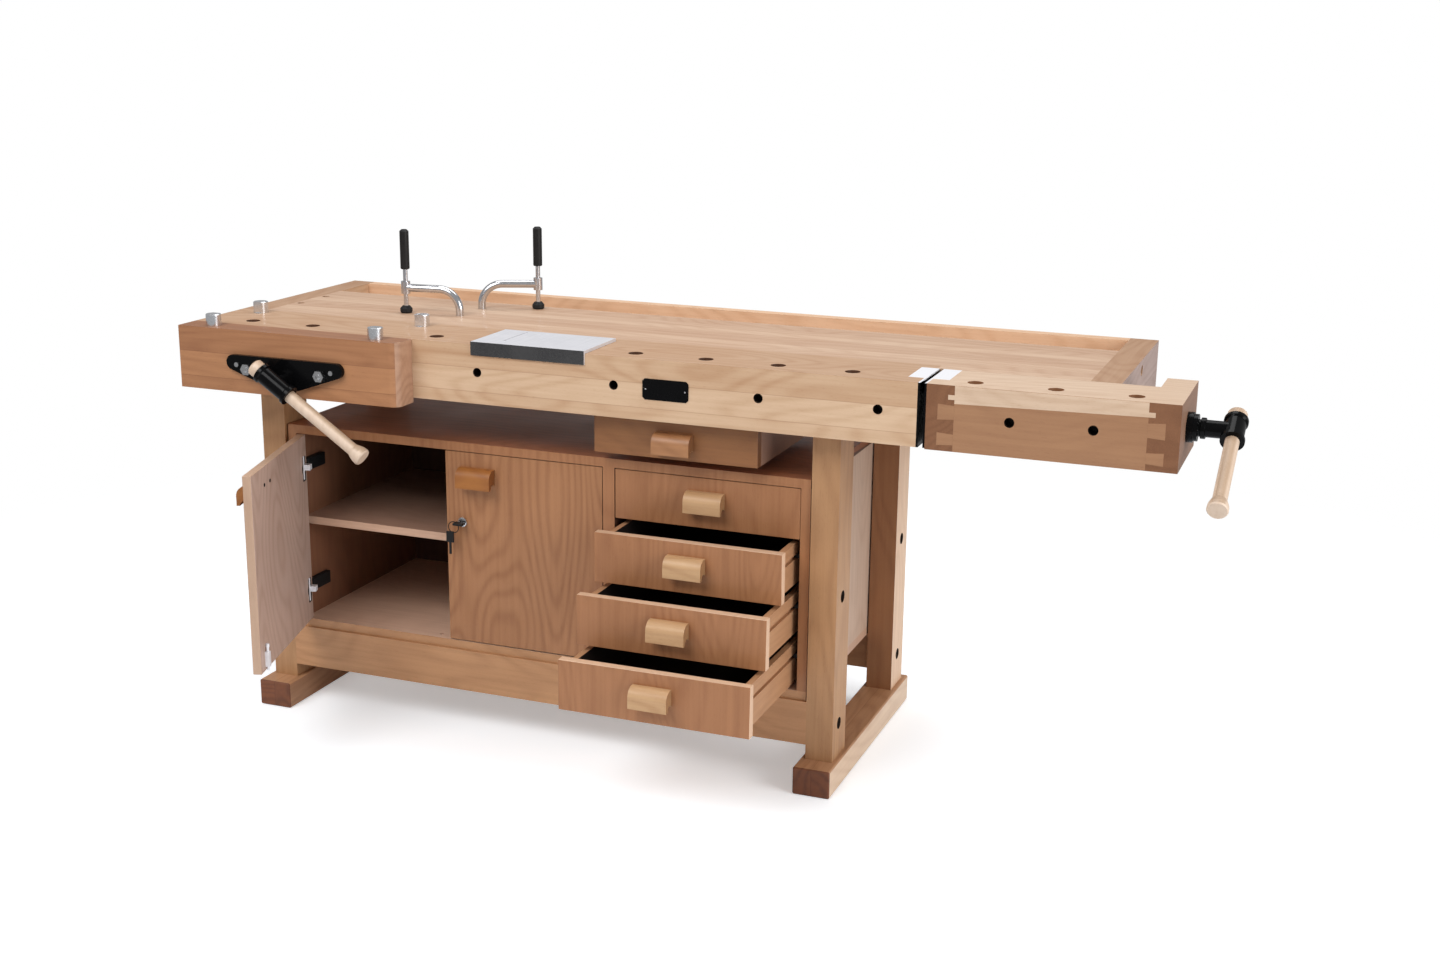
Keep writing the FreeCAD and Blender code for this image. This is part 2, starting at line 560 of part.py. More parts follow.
def hexagon_nut(x, z, across, height):
    """A nut on the face of the casting, standing out towards -Y."""
    radius = across / math.sqrt(3)
    angles = [math.radians(60 * i) for i in range(6)]
    corners = [(x + radius * math.cos(angle), z + radius * math.sin(angle)) for angle in angles]
    return extruded(corners, (CASTING_FACE - height, CASTING_FACE))


def casting_plate():
    """Two end lobes and a deeper middle, joined by their common tangents."""
    lobe_radius, lobe_reach, lobe_z = CASTING_LOBE
    left = (FACE_AXIS[0] - lobe_reach, lobe_z, lobe_radius)
    right = (FACE_AXIS[0] + lobe_reach, lobe_z, lobe_radius)
    middle = (FACE_AXIS[0], CASTING_MIDDLE[1], CASTING_MIDDLE[0])
    y = (CASTING_FACE, JAW_FACE)
    shapes = [rod(radius, (x, y[0], z), BACK, CASTING_THICK) for x, z, radius in (left, middle, right)]
    for (xa, za, ra), (xb, zb, rb) in ((left, middle), (middle, right), (left, right)):
        along = math.atan2(zb - za, xb - xa)
        lean = math.acos((ra - rb) / math.hypot(xb - xa, zb - za))
        corners = []
        for x, z, radius, sign in ((xa, za, ra, 1), (xb, zb, rb, 1), (xb, zb, rb, -1), (xa, za, ra, -1)):
            angle = along + sign * lean
            corners.append((x + radius * math.cos(angle), z + radius * math.sin(angle)))
        shapes.append(extruded(corners, y))
    return shapes[0].multiFuse(shapes[1:]).removeSplitter()


def face_vise():
    screw_x, screw_z = FACE_AXIS
    jaw = board((0, JAW_LENGTH), (JAW_FACE, 0), JAW_Z)
    corner = FreeCAD.Vector(JAW_LENGTH, JAW_FACE, sum(JAW_Z) / 2)
    rounded = [edge for edge in jaw.Edges if edge.CenterOfMass.distanceToPoint(corner) < 1]
    jaw = jaw.makeFillet(JAW_CORNER, rounded)
    through = JAW_DEPTH + 2
    drills = [dog_hole(x, y, JAW_Z) for x, y in JAW_DOGS]
    drills += [rod(ROD_RADIUS, (x, JAW_FACE - 1, ROD_Z), BACK, through) for x in ROD_XS]
    drills.append(rod(SCREW_RADIUS + FREE_FIT, (screw_x, JAW_FACE - 1, screw_z), BACK, through))
    add("face_jaw", jaw.cut(drills))

    boss_radius, boss_height = CASTING_BOSS
    boss_face = CASTING_FACE - boss_height
    boss = rod(boss_radius, (screw_x, boss_face, screw_z), BACK, boss_height + 1)
    bore_length = boss_height + CASTING_THICK + 2
    bore = rod(SCREW_RADIUS + RUN_FIT, (screw_x, boss_face - 1, screw_z), BACK, bore_length)
    pieces = [casting_plate().fuse(boss).removeSplitter().cut(bore)]
    pieces += [rod(ROD_RADIUS, (x, JAW_FACE, ROD_Z), BACK, ROD_END - JAW_FACE) for x in ROD_XS]
    pieces += [hexagon_nut(x, ROD_Z, *CASTING_NUT) for x in ROD_XS]
    radius, height, reach, z = CASTING_SCREW
    for x in (screw_x - reach, screw_x + reach):
        pieces.append(rod(radius, (x, CASTING_FACE - height, z), BACK, height))
    add("face_casting", *pieces)

    neck = boss_face - FACE_HUB_Y - TURN_GAP
    hub = FreeCAD.Vector(screw_x, FACE_HUB_Y, screw_z)
    screw = vise_screw(FACE_HUB_HALF, neck, FACE_SCREW_END - FACE_HUB_Y)
    bar = vise_bar(FACE_HUB_HALF, FACE_BAR_END)
    for solid in [screw] + bar:
        solid.rotate(ORIGIN, BACK, -FACE_BAR_ANGLE)
        solid.translate(hub)
    add("face_screw", screw)
    add("face_bar", *bar)


def tail_vise():
    between = (TAIL_BLOCK_X[1], TAIL_END_X[0])
    jaw_block = board(TAIL_BLOCK_X, (0, TAIL_DEPTH), TAIL_Z)
    flange_seat = board((TAIL_BLOCK_X[0] - 1, TAIL_BLOCK_X[0] - LINER + LINER_FLANGE[0]), LINER_FLANGE_Y,
                        (HEIGHT - LINER_FLANGE[1], HEIGHT + 1))
    front = board(between, (0, TAIL_FRONT), TAIL_Z)
    drills = [dog_hole(x, TAIL_DOG_Y, TAIL_Z) for x in TAIL_DOGS_X]
    drills += [front_hole(x, TAIL_HOLE_Z) for x in TAIL_HOLES_X]
    top = board(between, (TAIL_FRONT, TAIL_DEPTH), (HEIGHT - TAIL_TOP, HEIGHT))
    end_block = board(TAIL_END_X, (0, TAIL_END_DEPTH), TAIL_Z)
    passage_length = TAIL_END_X[1] - between[1] + 2
    passage = rod(SCREW_RADIUS + FREE_FIT, (between[1] - 1, *TAIL_AXIS), RIGHT, passage_length)
    add("tail_vise_body", jaw_block.cut(flange_seat), front.cut(drills), top, end_block.cut(passage))

    flange_end = TAIL_END_X[1] + TAIL_FLANGE[1]
    ring_end = flange_end + TAIL_RING[1]
    flange = rod(TAIL_FLANGE[0], (TAIL_END_X[1], *TAIL_AXIS), RIGHT, TAIL_FLANGE[1])
    ring = rod(TAIL_RING[0], (flange_end - 1, *TAIL_AXIS), RIGHT, TAIL_RING[1] + 1)
    flange = flange.fuse(ring).removeSplitter()
    flange = flange.cut(rod(SCREW_RADIUS + RUN_FIT, (TAIL_END_X[1] - 1, *TAIL_AXIS), RIGHT, 40))
    guide = rod(ROD_RADIUS, (TAIL_ROD_END, *TAIL_ROD), RIGHT, TAIL_END_X[0] - TAIL_ROD_END)
    add("tail_fittings", flange, guide)

    screw = vise_screw(TAIL_HUB_HALF, TAIL_HUB_X - ring_end - TURN_GAP, TAIL_HUB_X - TAIL_SCREW_END)
    bar = vise_bar(TAIL_HUB_HALF, TAIL_BAR_END)
    for solid in [screw] + bar:
        solid.rotate(ORIGIN, UP, 90)
        solid.rotate(ORIGIN, RIGHT, -TAIL_BAR_ANGLE)
        solid.translate(FreeCAD.Vector(TAIL_HUB_X, *TAIL_AXIS))
    add("tail_screw", screw)
    add("tail_bar", *bar)


def jaw_plates():
    """Black liners on the two jaws of the tail vise, each with a bright flange let into the top."""
    reach, thick = LINER_FLANGE
    flange_z = (HEIGHT - thick, HEIGHT)
    liner_z = (APRON_Z[0], HEIGHT)
    liner_y = (0, TAIL_DEPTH)
    fixed_x = span(STRIP_LENGTH, LINER)
    moving_x = (TAIL_BLOCK_X[0] - LINER, TAIL_BLOCK_X[0])
    for name, liner_x, flange_x in (("bench_jaw_plate", fixed_x, (fixed_x[1] - reach, fixed_x[1])),
                                    ("tail_jaw_plate", moving_x, span(moving_x[0], reach))):
        flange = board(flange_x, LINER_FLANGE_Y, flange_z)
        add(name, board(liner_x, liner_y, liner_z).cut(flange), flange)


def vise_nuts():
    """The two fixed nuts: one behind the dog strip, one on the right end cap."""
    half_width, depth, top = FACE_NUT
    x, z = FACE_AXIS
    face_nut = board((x - half_width, x + half_width), span(STRIP_DEPTH, depth), (APRON_Z[0], top))
    face_nut = face_nut.cut(rod(SCREW_RADIUS + RUN_FIT, (x, 0, z), BACK, 2 * STRIP_DEPTH))
    tail_nut = board(TAIL_NUT_X, (TAIL_NUT_Y, NOTCH_DEPTH), TAIL_NUT_Z)
    bore_length = TAIL_NUT_X[1] - TAIL_NUT_X[0] + 2
    bore = rod(SCREW_RADIUS + RUN_FIT, (TAIL_NUT_X[0] - 1, *TAIL_AXIS), RIGHT, bore_length)
    add("vise_nuts", face_nut, tail_nut.cut(bore))


# ---------------------------------------------------------------- loose fittings on the top
def bench_dog(name, x, y, facing):
    """A round steel dog; the flat side of its head faces the work."""
    radius, height = DOG_HEAD
    top = HEIGHT + height
    bottom = HEIGHT - DOG_SHAFT
    shaft = DOG_RADIUS - RUN_FIT
    dog = turned([(bottom, 0), (bottom, shaft - 2), (bottom + 2, shaft), (HEIGHT, shaft), (HEIGHT, radius),
                  (top - 1.5, radius), (top, radius - 1.5), (top, 0)], x, y)
    cut_y = sorted((y + facing * DOG_FLAT, y + facing * (radius + 1)))
    add(name, dog.cut(board((x - radius, x + radius), cut_y, (HEIGHT + 1, top + 1))))


def hold_down(name, post_y, turn):
    """A bent steel arm in its hole, with a screwed spindle that presses a pad on the top."""
    bend_z = ARM_Z - ARM_BEND
    boss_low, boss_high = ARM_BOSS_Z
    post = rod(POST_RADIUS, (0, 0, POST_END_Z), UP, bend_z - POST_END_Z)
    profile = Part.Face(Part.Wire(Part.makeCircle(POST_RADIUS, FreeCAD.Vector(0, 0, bend_z), UP)))
    elbow = profile.revolve(FreeCAD.Vector(ARM_BEND, 0, bend_z), BACK, 90)
    level = rod(POST_RADIUS, (ARM_BEND, 0, ARM_Z), RIGHT, ARM_REACH - ARM_BEND)
    boss = rod(ARM_BOSS_RADIUS, (ARM_REACH, 0, boss_low), UP, boss_high - boss_low)
    arm = post.multiFuse([elbow, level, boss])
    bore = rod(SPINDLE_RADIUS + RUN_FIT, (ARM_REACH, 0, boss_low - 1), UP, boss_high - boss_low + 2)
    pad_top = HEIGHT + PAD_HEIGHT
    pad_low = HEIGHT + PAD_GAP
    pad = turned([(pad_low, 0), (pad_low, PAD_RADIUS - 2), (pad_low + 3, PAD_RADIUS),
                  (pad_top - 6, PAD_RADIUS), (pad_top, PAD_RADIUS - 5), (pad_top, 0)], ARM_REACH)
    socket_floor = pad_top - PAD_SOCKET
    pad = pad.cut(rod(SPINDLE_RADIUS + RUN_FIT, (ARM_REACH, 0, socket_floor), UP, PAD_SOCKET + 1))
    foot_z = socket_floor + RUN_FIT
    bore_top = GRIP_Z[0] + GRIP_BORE
    spindle = rod(SPINDLE_RADIUS, (ARM_REACH, 0, foot_z), UP, bore_top - foot_z)
    low, high = GRIP_Z
    grip = turned([(low, SPINDLE_RADIUS), (low, GRIP_RADIUS - 1.5), (low + 1.5, GRIP_RADIUS),
                   (high - 4, GRIP_RADIUS), (high, GRIP_RADIUS - 4), (high, 0), (bore_top, 0),
                   (bore_top, SPINDLE_RADIUS)], ARM_REACH)
    pieces = {"_arm": [arm.cut(bore).removeSplitter()], "_pad": [pad], "_spindle": [spindle, grip]}
    for suffix, solids in pieces.items():
        for solid in solids:
            solid.rotate(ORIGIN, UP, turn)
            solid.translate(FreeCAD.Vector(POST_HOLES_X[1], post_y, 0))
        add(name + suffix, *solids)


def steel_plate():
    """A steel plate on the top, hooked over the front edge, with one narrow slot."""
    top = HEIGHT + PLATE_THICK
    lip_thick, lip_height = PLATE_LIP
    sheet = board(PLATE_X, (-lip_thick, PLATE_BACK), (HEIGHT, top))
    lip = board(PLATE_X, (-lip_thick, 0), (top - lip_height, top))
    half = PLATE_SLOT_WIDTH / 2
    cutters = [board((PLATE_SLOT_X - half, PLATE_SLOT_X + half), PLATE_SLOT_Y, (HEIGHT - 1, top + 1))]
    cutters += [rod(PLATE_SLOT_END, (PLATE_SLOT_X, y, HEIGHT - 1), UP, PLATE_THICK + 2) for y in PLATE_SLOT_Y]
    add("steel_plate", sheet.fuse(lip).removeSplitter().cut(cutters))


# ---------------------------------------------------------------- the whole bench
bench_top()
cabinet()
trestles()
left_door()
right_door()
drawers()
till()
face_vise()
tail_vise()
jaw_plates()
vise_nuts()
for side, place in zip(("left", "right"), JAW_DOGS):
    bench_dog("dog_jaw_" + side, *place, 1)
for side, place in zip(("left", "right"), BENCH_DOGS):
    bench_dog("dog_bench_" + side, *place, -1)
hold_down("hold_left", POST_ROWS_Y[0], LEFT_ARM_TURN)
hold_down("hold_right", POST_ROWS_Y[1], RIGHT_ARM_TURN)
steel_plate()

whole = FreeCAD.BoundBox()
for shape in nodes.values():
    whole.add(shape.optimalBoundingBox(False, False))
to_origin = FreeCAD.Vector(-whole.Center.x, -whole.Center.y, 0)
print("moved by", to_origin, "size", whole.XLength, whole.YLength, whole.ZLength)
os.makedirs("parts", exist_ok=True)
for name, shape in nodes.items():
    shape.translate(to_origin)
    shape.exportStep("parts/%s.step" % name)
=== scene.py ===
import math

import bmesh
import bpy
from mathutils import Matrix, Vector


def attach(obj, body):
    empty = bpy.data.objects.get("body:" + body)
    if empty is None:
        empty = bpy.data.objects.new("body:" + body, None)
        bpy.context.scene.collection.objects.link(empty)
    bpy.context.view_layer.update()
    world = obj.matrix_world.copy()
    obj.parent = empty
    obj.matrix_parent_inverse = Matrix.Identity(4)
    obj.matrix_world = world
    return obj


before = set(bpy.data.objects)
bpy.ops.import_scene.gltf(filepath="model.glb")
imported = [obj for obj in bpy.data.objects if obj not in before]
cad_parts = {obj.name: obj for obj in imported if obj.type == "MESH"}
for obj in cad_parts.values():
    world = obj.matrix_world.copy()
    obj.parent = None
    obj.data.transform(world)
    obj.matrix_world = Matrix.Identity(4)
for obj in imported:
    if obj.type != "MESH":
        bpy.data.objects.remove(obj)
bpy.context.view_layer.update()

# Faces and detail pieces are placed in bench millimetres: x from the left end of the top, y back
# from the front of the dog strip, z up from the floor. BENCH_ORIGIN moves them into the CAD frame.
BENCH_ORIGIN = Vector((-1087.5, -178.19957, 0.0))
MM = 0.001
ROOT = "frame"
X, Y, Z = range(3)

# ---------------------------------------------------------------- bench sizes
NEAR = 0.5                  # a face this close to a plane lies in it

HEIGHT = 870.0
TOP_LENGTH = 1942.6
DOG_RADIUS = 15.0
STRIP_DOGS = [(112 + 149 * number, 48) for number in range(10)]     # x, y
TAIL_DOGS = [(x, 43) for x in (1691, 1840, 1985)]
SIDE_HOLE = (9.5, 35.0)     # radius, depth of the blind holes in the front
STRIP_HOLES = [(x, 812.5) for x in (677, 979, 1281, 1518)]          # x, z
TAIL_HOLES = [(x, 810) for x in (1766, 1918)]

FOOT_Y = (20.5, 611.0)
FOOT_EASE = 2.5
FOOT_RIGHT = 1438.5
LEGS_OUTSIDE = (106.5, 1428.0)      # outer faces of the left and right legs
REAR_LEG_Y = 503.5
BOLT_POCKET = (12.5, 14.0)  # radius, depth
BOLT_POCKETS = [(y, z) for y in (110, 548) for z in (130, 400)]

CABINET_X = (167.5, 1367.5)
CABINET_Y = (75.0, 570.0)
CEILING_SHADE_TOP = 630.0   # the cabinet's top is painted dark, as shade, on the faces whose middle is below this
SHELF_FRONT = 95.0
TILL_RIGHT = 1268.0
DOOR_Z = (202.0, 621.5)
DOOR_WIDTH, DOOR_THICK = 364.0, 18.0
RIGHT_DOOR_HINGE_X = 919.0
HINGE_ZS = (272, 549)
HINGE_FLANGE_THICK = 1.5
PULL_LOW = 549.5            # underside of the doors' pulls
BOLT_GUIDE_TOP = 242.0
LOCK = (594, 72, 469)       # front of the lock, on its axis

DRAWER_OUT = (0.0, 103.8, 188.1, 274.3)     # how far each drawer stands out, from the top one down
DRAWER_TOP, DRAWER_PITCH = 621.7, 105.77
FRONT_HEIGHT, FRONT_THICK = 103.75, 19.0
FRONT_EDGE_X = 1346.0       # just inside the chamfer of the right edge
BOX_INSIDE_X = (972.0, 1322.0)
BOX_LENGTH = 386.0
BOX_TRIM = (8.0, 10.0)      # box below and above, short of the front

JAW_FACE, CASTING_FACE = -61.0, -71.0
JAW_END_X = 520.5           # past it the rounded corner shows the jaw's end
FACE_SCREW_X = 264.0
BOSS_CLEAR = 60.0           # the casting's nuts and screws stand farther than this from its screw
ROD_XS, ROD_Z, NUT_FACE = (176, 352), 791, -80
FRONT_BOARD_X = (1663.0, 2013.6)    # the tail vise's front board, between its two blocks
FRONT_BOARD_BACK = 70.0
TAIL_RIGHT = 2070.5
TAIL_AXIS = (100, 810)      # y, z of the tail vise's screw
TAIL_RING_END = 2090.0      # the tail screw is bright up to here and black beyond
LINER_FLANGE_THICK = 2.5
GRIP_LOW = 967.0
PLATE_LIP = 4.0


def place(x, y, z):
    """A bench point as a point of the scene, in metres."""
    return (Vector((x, y, z)) + BENCH_ORIGIN) * MM


def paint(red, green, blue):
    """A display colour, 0 to 255, as the linear colour that the shaders take."""
    parts = [c / 255 for c in (red, green, blue)]
    linear = [c / 12.92 if c <= 0.04045 else ((c + 0.055) / 1.055) ** 2.4 for c in parts]
    return (*linear, 1.0)


# ---------------------------------------------------------------- shader building
BUMP_STRENGTH = 0.6
MOST_NOISE = (0.3, 0.7)     # nearly all of a noise's values lie between these


class Shader:
    """A material whose pattern is tied to the object's own coordinates."""

    def __init__(self, name):
        self.material = bpy.data.materials.new(name)
        self.material.use_nodes = True
        self.tree = self.material.node_tree
        self.surface = self.tree.nodes["Principled BSDF"]
        coords = self.tree.nodes.new("ShaderNodeTexCoord")
        self.place = coords.outputs["Object"]
        self.facing = coords.outputs["Normal"]

    def put(self, socket, value):
        if isinstance(value, bpy.types.NodeSocket):
            self.tree.links.new(value, socket)
        else:
            socket.default_value = value

    def math(self, operation, first, second=0.0):
        node = self.tree.nodes.new("ShaderNodeMath")
        node.operation = operation
        self.put(node.inputs[0], first)
        self.put(node.inputs[1], second)
        return node.outputs[0]

    def mix(self, factor, first, second, blend="MIX"):
        """Mixes two colours. A Mix node's colour sockets follow those for numbers and vectors."""
        node = self.tree.nodes.new("ShaderNodeMix")
        node.data_type = "RGBA"
        node.blend_type = blend
        self.put(node.inputs[0], factor)
        self.put(node.inputs[6], first)
        self.put(node.inputs[7], second)
        return node.outputs[2]

    def split(self, vector):
        node = self.tree.nodes.new("ShaderNodeSeparateXYZ")
        self.put(node.inputs[0], vector)
        return list(node.outputs)

    def join(self, x, y, z):
        node = self.tree.nodes.new("ShaderNodeCombineXYZ")
        for socket, value in zip(node.inputs, (x, y, z)):
            self.put(socket, value)
        return node.outputs[0]

    def noise(self, vector, scale, detail=3.0):
        node = self.tree.nodes.new("ShaderNodeTexNoise")
        self.put(node.inputs["Vector"], vector)
        node.inputs["Scale"].default_value = scale
        node.inputs["Detail"].default_value = detail
        return node.outputs["Fac"]

    def chance(self, value):
        """One random number for each whole value."""
        node = self.tree.nodes.new("ShaderNodeTexWhiteNoise")
        node.noise_dimensions = "1D"
        self.put(node.inputs["W"], value)
        return node.outputs["Value"]

    def between(self, value, low, high, to_low=0.0, to_high=1.0):
        node = self.tree.nodes.new("ShaderNodeMapRange")
        for socket, number in zip(node.inputs, (value, low, high, to_low, to_high)):
            self.put(socket, number)
        return node.outputs[0]

    def bump(self, height, distance):
        node = self.tree.nodes.new("ShaderNodeBump")
        node.inputs["Distance"].default_value = distance
        node.inputs["Strength"].default_value = BUMP_STRENGTH
        self.put(node.inputs["Height"], height)
        self.put(self.surface.inputs["Normal"], node.outputs[0])

    def finish(self, colour, roughness, metallic=0.0, coat=0.0):
        self.put(self.surface.inputs["Base Color"], colour)
        self.put(self.surface.inputs["Roughness"], roughness)
        self.surface.inputs["Metallic"].default_value = metallic
        self.surface.inputs["Coat Weight"].default_value = coat
        return self.material


# The beech pattern. Cells are counted per metre, along and across the grain where there are two.
RING_CELLS, RING_LINES, RING_SHARPNESS = (1.5, 5.5), 62.0, 4.0
STREAK_CELLS, STREAK_NOISE, STREAK_DARKNESS = (3.0, 120.0), (0.3, 0.75), (0.12, 0.42)
FLECK_CELLS, FLECK_NOISE, FLECK_DARKNESS = (90.0, 800.0), (0.6, 0.74), 0.18
BLOTCH_CELLS, BLOTCH_DARKNESS = 4.0, (-0.12, 0.12)
STRIP_SHIFT, STRIP_DARKNESS = 7.0, (-0.2, 0.2)      # from one glued strip to the next
SEAM_WIDTH, SEAM_DARKNESS = 0.0012, 0.4
PORE_CELLS, PORE_TONE = 420.0, 0.5
END_ON = (0.6, 0.8)         # how squarely a face meets the grain, from long grain to end grain
WOOD_BUMP, WOOD_ROUGHNESS, WOOD_COAT = 0.0002, (0.44, 0.6), 0.06

# The pattern of metal, paint and plastic.
FINE_CELLS, FINE_NOISE, FINE_SHARE = 260.0, (0.35, 0.7), 0.3
WORN_CELLS, WORN_SHARE = 14.0, 0.5
TONE_RANGE = (0.1, 0.7)

FINISHES = {}


def wood(name, light, dark, grain=X, glue=None, glue_width=0.045, glue_start=0.0, figure=0.2, end=0.75):
    """Oiled beech. grain is the axis it runs along, glue the axis across its glued strips.

    light is the ground and dark the grain, figure the strength of the growth rings, and end how
    dark the end grain is.
    """
    light, dark = paint(*light), paint(*dark)
    shader = Shader(name)
    xyz = shader.split(shader.place)
    along = xyz[grain]
    across, deep = [xyz[i] for i in (X, Y, Z) if i != grain]
    lot, in_strip = 0.5, 0.5
    if glue is not None:
        strip = shader.math("DIVIDE", shader.math("SUBTRACT", xyz[glue], glue_start), glue_width)
        lot = shader.chance(shader.math("FLOOR", strip))
        in_strip = shader.math("FRACT", strip)
    across = shader.math("ADD", across, shader.math("MULTIPLY", lot, STRIP_SHIFT))

    def stretched(cells, detail):
        """Noise drawn out along the grain."""
        sizes = (cells[0], cells[1], cells[1])
        scaled = [shader.math("MULTIPLY", value, size) for value, size in zip((along, across, deep), sizes)]
        return shader.noise(shader.join(*scaled), 1.0, detail)

    # Growth rings are level lines of a slow noise; streaks and flecks are finer noises.
    rings = shader.math("SINE", shader.math("MULTIPLY", stretched(RING_CELLS, 1.0), RING_LINES))
    rings = shader.math("POWER", shader.math("ABSOLUTE", rings), RING_SHARPNESS)
    streaks = stretched(STREAK_CELLS, 4.0)
    flecks = shader.between(stretched(FLECK_CELLS, 1.0), *FLECK_NOISE)
    blotch = shader.noise(shader.place, BLOTCH_CELLS, 3.0)
    amount = shader.between(streaks, *STREAK_NOISE, *STREAK_DARKNESS)
    amount = shader.math("ADD", amount, shader.math("MULTIPLY", rings, figure))
    amount = shader.math("ADD", amount, shader.math("MULTIPLY", flecks, FLECK_DARKNESS))
    amount = shader.math("ADD", amount, shader.between(blotch, *MOST_NOISE, *BLOTCH_DARKNESS))
    amount = shader.math("ADD", amount, shader.between(lot, 0.0, 1.0, *STRIP_DARKNESS))
    colour = shader.mix(amount, light, dark)
    if glue is not None:
        near_seam = shader.math("MINIMUM", in_strip, shader.math("SUBTRACT", 1.0, in_strip))
        line = shader.between(near_seam, 0.0, SEAM_WIDTH / glue_width, SEAM_DARKNESS, 0.0)
        colour = shader.mix(line, colour, dark, "MULTIPLY")
    end_on = shader.math("ABSOLUTE", shader.split(shader.facing)[grain])
    end_on = shader.between(end_on, *END_ON, 0.0, end)
    pores = shader.noise(shader.place, PORE_CELLS, 2.0)
    deep_tone = [c * PORE_TONE for c in dark[:3]] + [1.0]
    colour = shader.mix(end_on, colour, shader.mix(pores, deep_tone, dark))
    shader.bump(shader.math("ADD", streaks, shader.math("MULTIPLY", flecks, 0.5)), WOOD_BUMP)
    roughness = shader.between(blotch, *MOST_NOISE, *WOOD_ROUGHNESS)
    FINISHES[name] = shader.finish(colour, roughness, coat=WOOD_COAT)


def metal(name, plain, worn, roughness, metallic=1.0, stretch=(1.0, 1.0, 1.0), bump=0.00003, shine=0.5):
    """Metal, paint or plastic: fine scratches or casting grain, blotches and a worn tone."""
    shader = Shader(name)
    scaled = [shader.math("MULTIPLY", c, s) for c, s in zip(shader.split(shader.place), stretch)]
    fine = shader.noise(shader.join(*scaled), FINE_CELLS, 3.0)
    blotch = shader.noise(shader.place, WORN_CELLS, 3.0)
    tone = shader.math("ADD", shader.math("MULTIPLY", shader.between(fine, *FINE_NOISE), FINE_SHARE),
                       shader.math("MULTIPLY", shader.between(blotch, *MOST_NOISE), WORN_SHARE))
    shader.bump(fine, bump)
    rough = shader.between(tone, *TONE_RANGE, *roughness)
    shader.surface.inputs["Specular IOR Level"].default_value = shine
    FINISHES[name] = shader.finish(shader.mix(tone, paint(*plain), paint(*worn)), rough, metallic)


# ---------------------------------------------------------------- finishes
# Glued strips: the axis across them, the width of one and where the first starts, in metres.
STRIP_GLUE = {"glue": Z, "glue_width": 0.049, "glue_start": 0.7235}
CAP_GLUE = {"glue": Z, "glue_width": 0.0615, "glue_start": 0.747}
JAW_GLUE = {"glue": Z, "glue_width": 0.053, "glue_start": 0.7115}
FOOT_GLUE = {"glue": X, "glue_width": 0.03952, "glue_start": -0.9525}

wood("slab_wood", (202, 171, 144), (166, 125, 96), glue=Y, glue_width=0.040)
wood("strip_wood", (208, 177, 146), (172, 130, 94), figure=0.24, **STRIP_GLUE)
wood("cap_wood", (208, 177, 146), (172, 130, 94), grain=Y, **CAP_GLUE)
wood("shaded_cap_wood", (168, 146, 138), (137, 112, 100), grain=Y, **CAP_GLUE)
wood("tail_front_wood", (164, 121, 86), (134, 91, 62), figure=0.12)
wood("tail_top_wood", (214, 188, 163), (178, 144, 115), figure=0.15)
# Painted shade: the tail vise's right end face, darker than the rest of it.
wood("tail_end_wood", (139, 104, 82), (109, 77, 58), grain=Y, figure=0.15)
wood("end_grain", (168, 116, 78), (126, 80, 48), grain=Y, figure=0.5)
wood("jaw_wood", (176, 124, 84), (130, 82, 52), figure=0.15, **JAW_GLUE)
wood("jaw_end_wood", (186, 146, 118), (150, 108, 82), figure=0.3, end=0.0)
wood("leg_wood", (182, 138, 96), (136, 92, 58), grain=Z)
# Painted shade: the leg tone darkened, for the rear legs and inside the tail vise's dog holes.
wood("brown_shade_wood", (150, 102, 66), (112, 70, 42), grain=Z)
wood("foot_wood", (196, 150, 112), (142, 96, 64), grain=Y, **FOOT_GLUE)
wood("foot_end_wood", (122, 68, 36), (86, 45, 22), grain=Y, figure=0.4, end=0.0, **FOOT_GLUE)
# Painted light: the feet's right-hand faces, paler as lit from the right.
wood("foot_side_lit", (224, 198, 172), (190, 156, 128), grain=Y)
wood("rail_wood", (190, 141, 99), (149, 103, 66))
wood("back_board_wood", (226, 189, 156), (190, 144, 106))
# The brown of the cabinet's top and till housing, darkened as painted shade under the bench top.
wood("lid_tone_and_shade", (172, 110, 76), (128, 76, 48))
wood("door_wood", (170, 119, 79), (131, 83, 49), grain=Z, figure=0.34, end=0.0)
wood("drawer_wood", (169, 116, 76), (130, 81, 47), grain=Z, figure=0.2, end=0.0)
wood("till_wood", (142, 94, 54), (107, 64, 32), figure=0.15)
wood("lining_wood", (196, 168, 154), (164, 132, 114), grain=Z, figure=0.32)
wood("cupboard_floor_wood", (228, 190, 165), (197, 156, 130), figure=0.12)
# The shelf's own tone, also used as painted light on the till housing's right side.
wood("shelf_and_lit_side", (178, 140, 120), (146, 108, 88), figure=0.12)
wood("shelf_edge_wood", (206, 170, 146), (172, 134, 108), figure=0.1)
# Painted light: the cabinet's right outside, paler as lit from the right.
wood("cabinet_side_lit", (198, 172, 152), (161, 130, 110), grain=Z, figure=0.16)
wood("wall_wood", (142, 96, 70), (108, 68, 48), grain=Z, figure=0.16)
# Painted shade: the dark back, divider and ceiling inside the cabinet.
wood("inner_wall_shade", (84, 54, 40), (60, 37, 27), grain=Z, figure=0.16)
wood("edge_wood", (220, 184, 154), (188, 150, 120), grain=Z, figure=0.1, end=0.0)
wood("door_edge_wood", (190, 158, 134), (158, 125, 102), grain=Z, figure=0.1, end=0.0)
wood("box_wood", (185, 139, 102), (146, 102, 71), grain=Y, figure=0.1, end=0.0)
wood("pull_wood", (166, 106, 46), (125, 70, 26), figure=0.25)
wood("drawer_pull_wood", (198, 160, 118), (162, 118, 78), figure=0.25)
wood("till_pull_wood", (168, 118, 78), (124, 80, 47), figure=0.25)
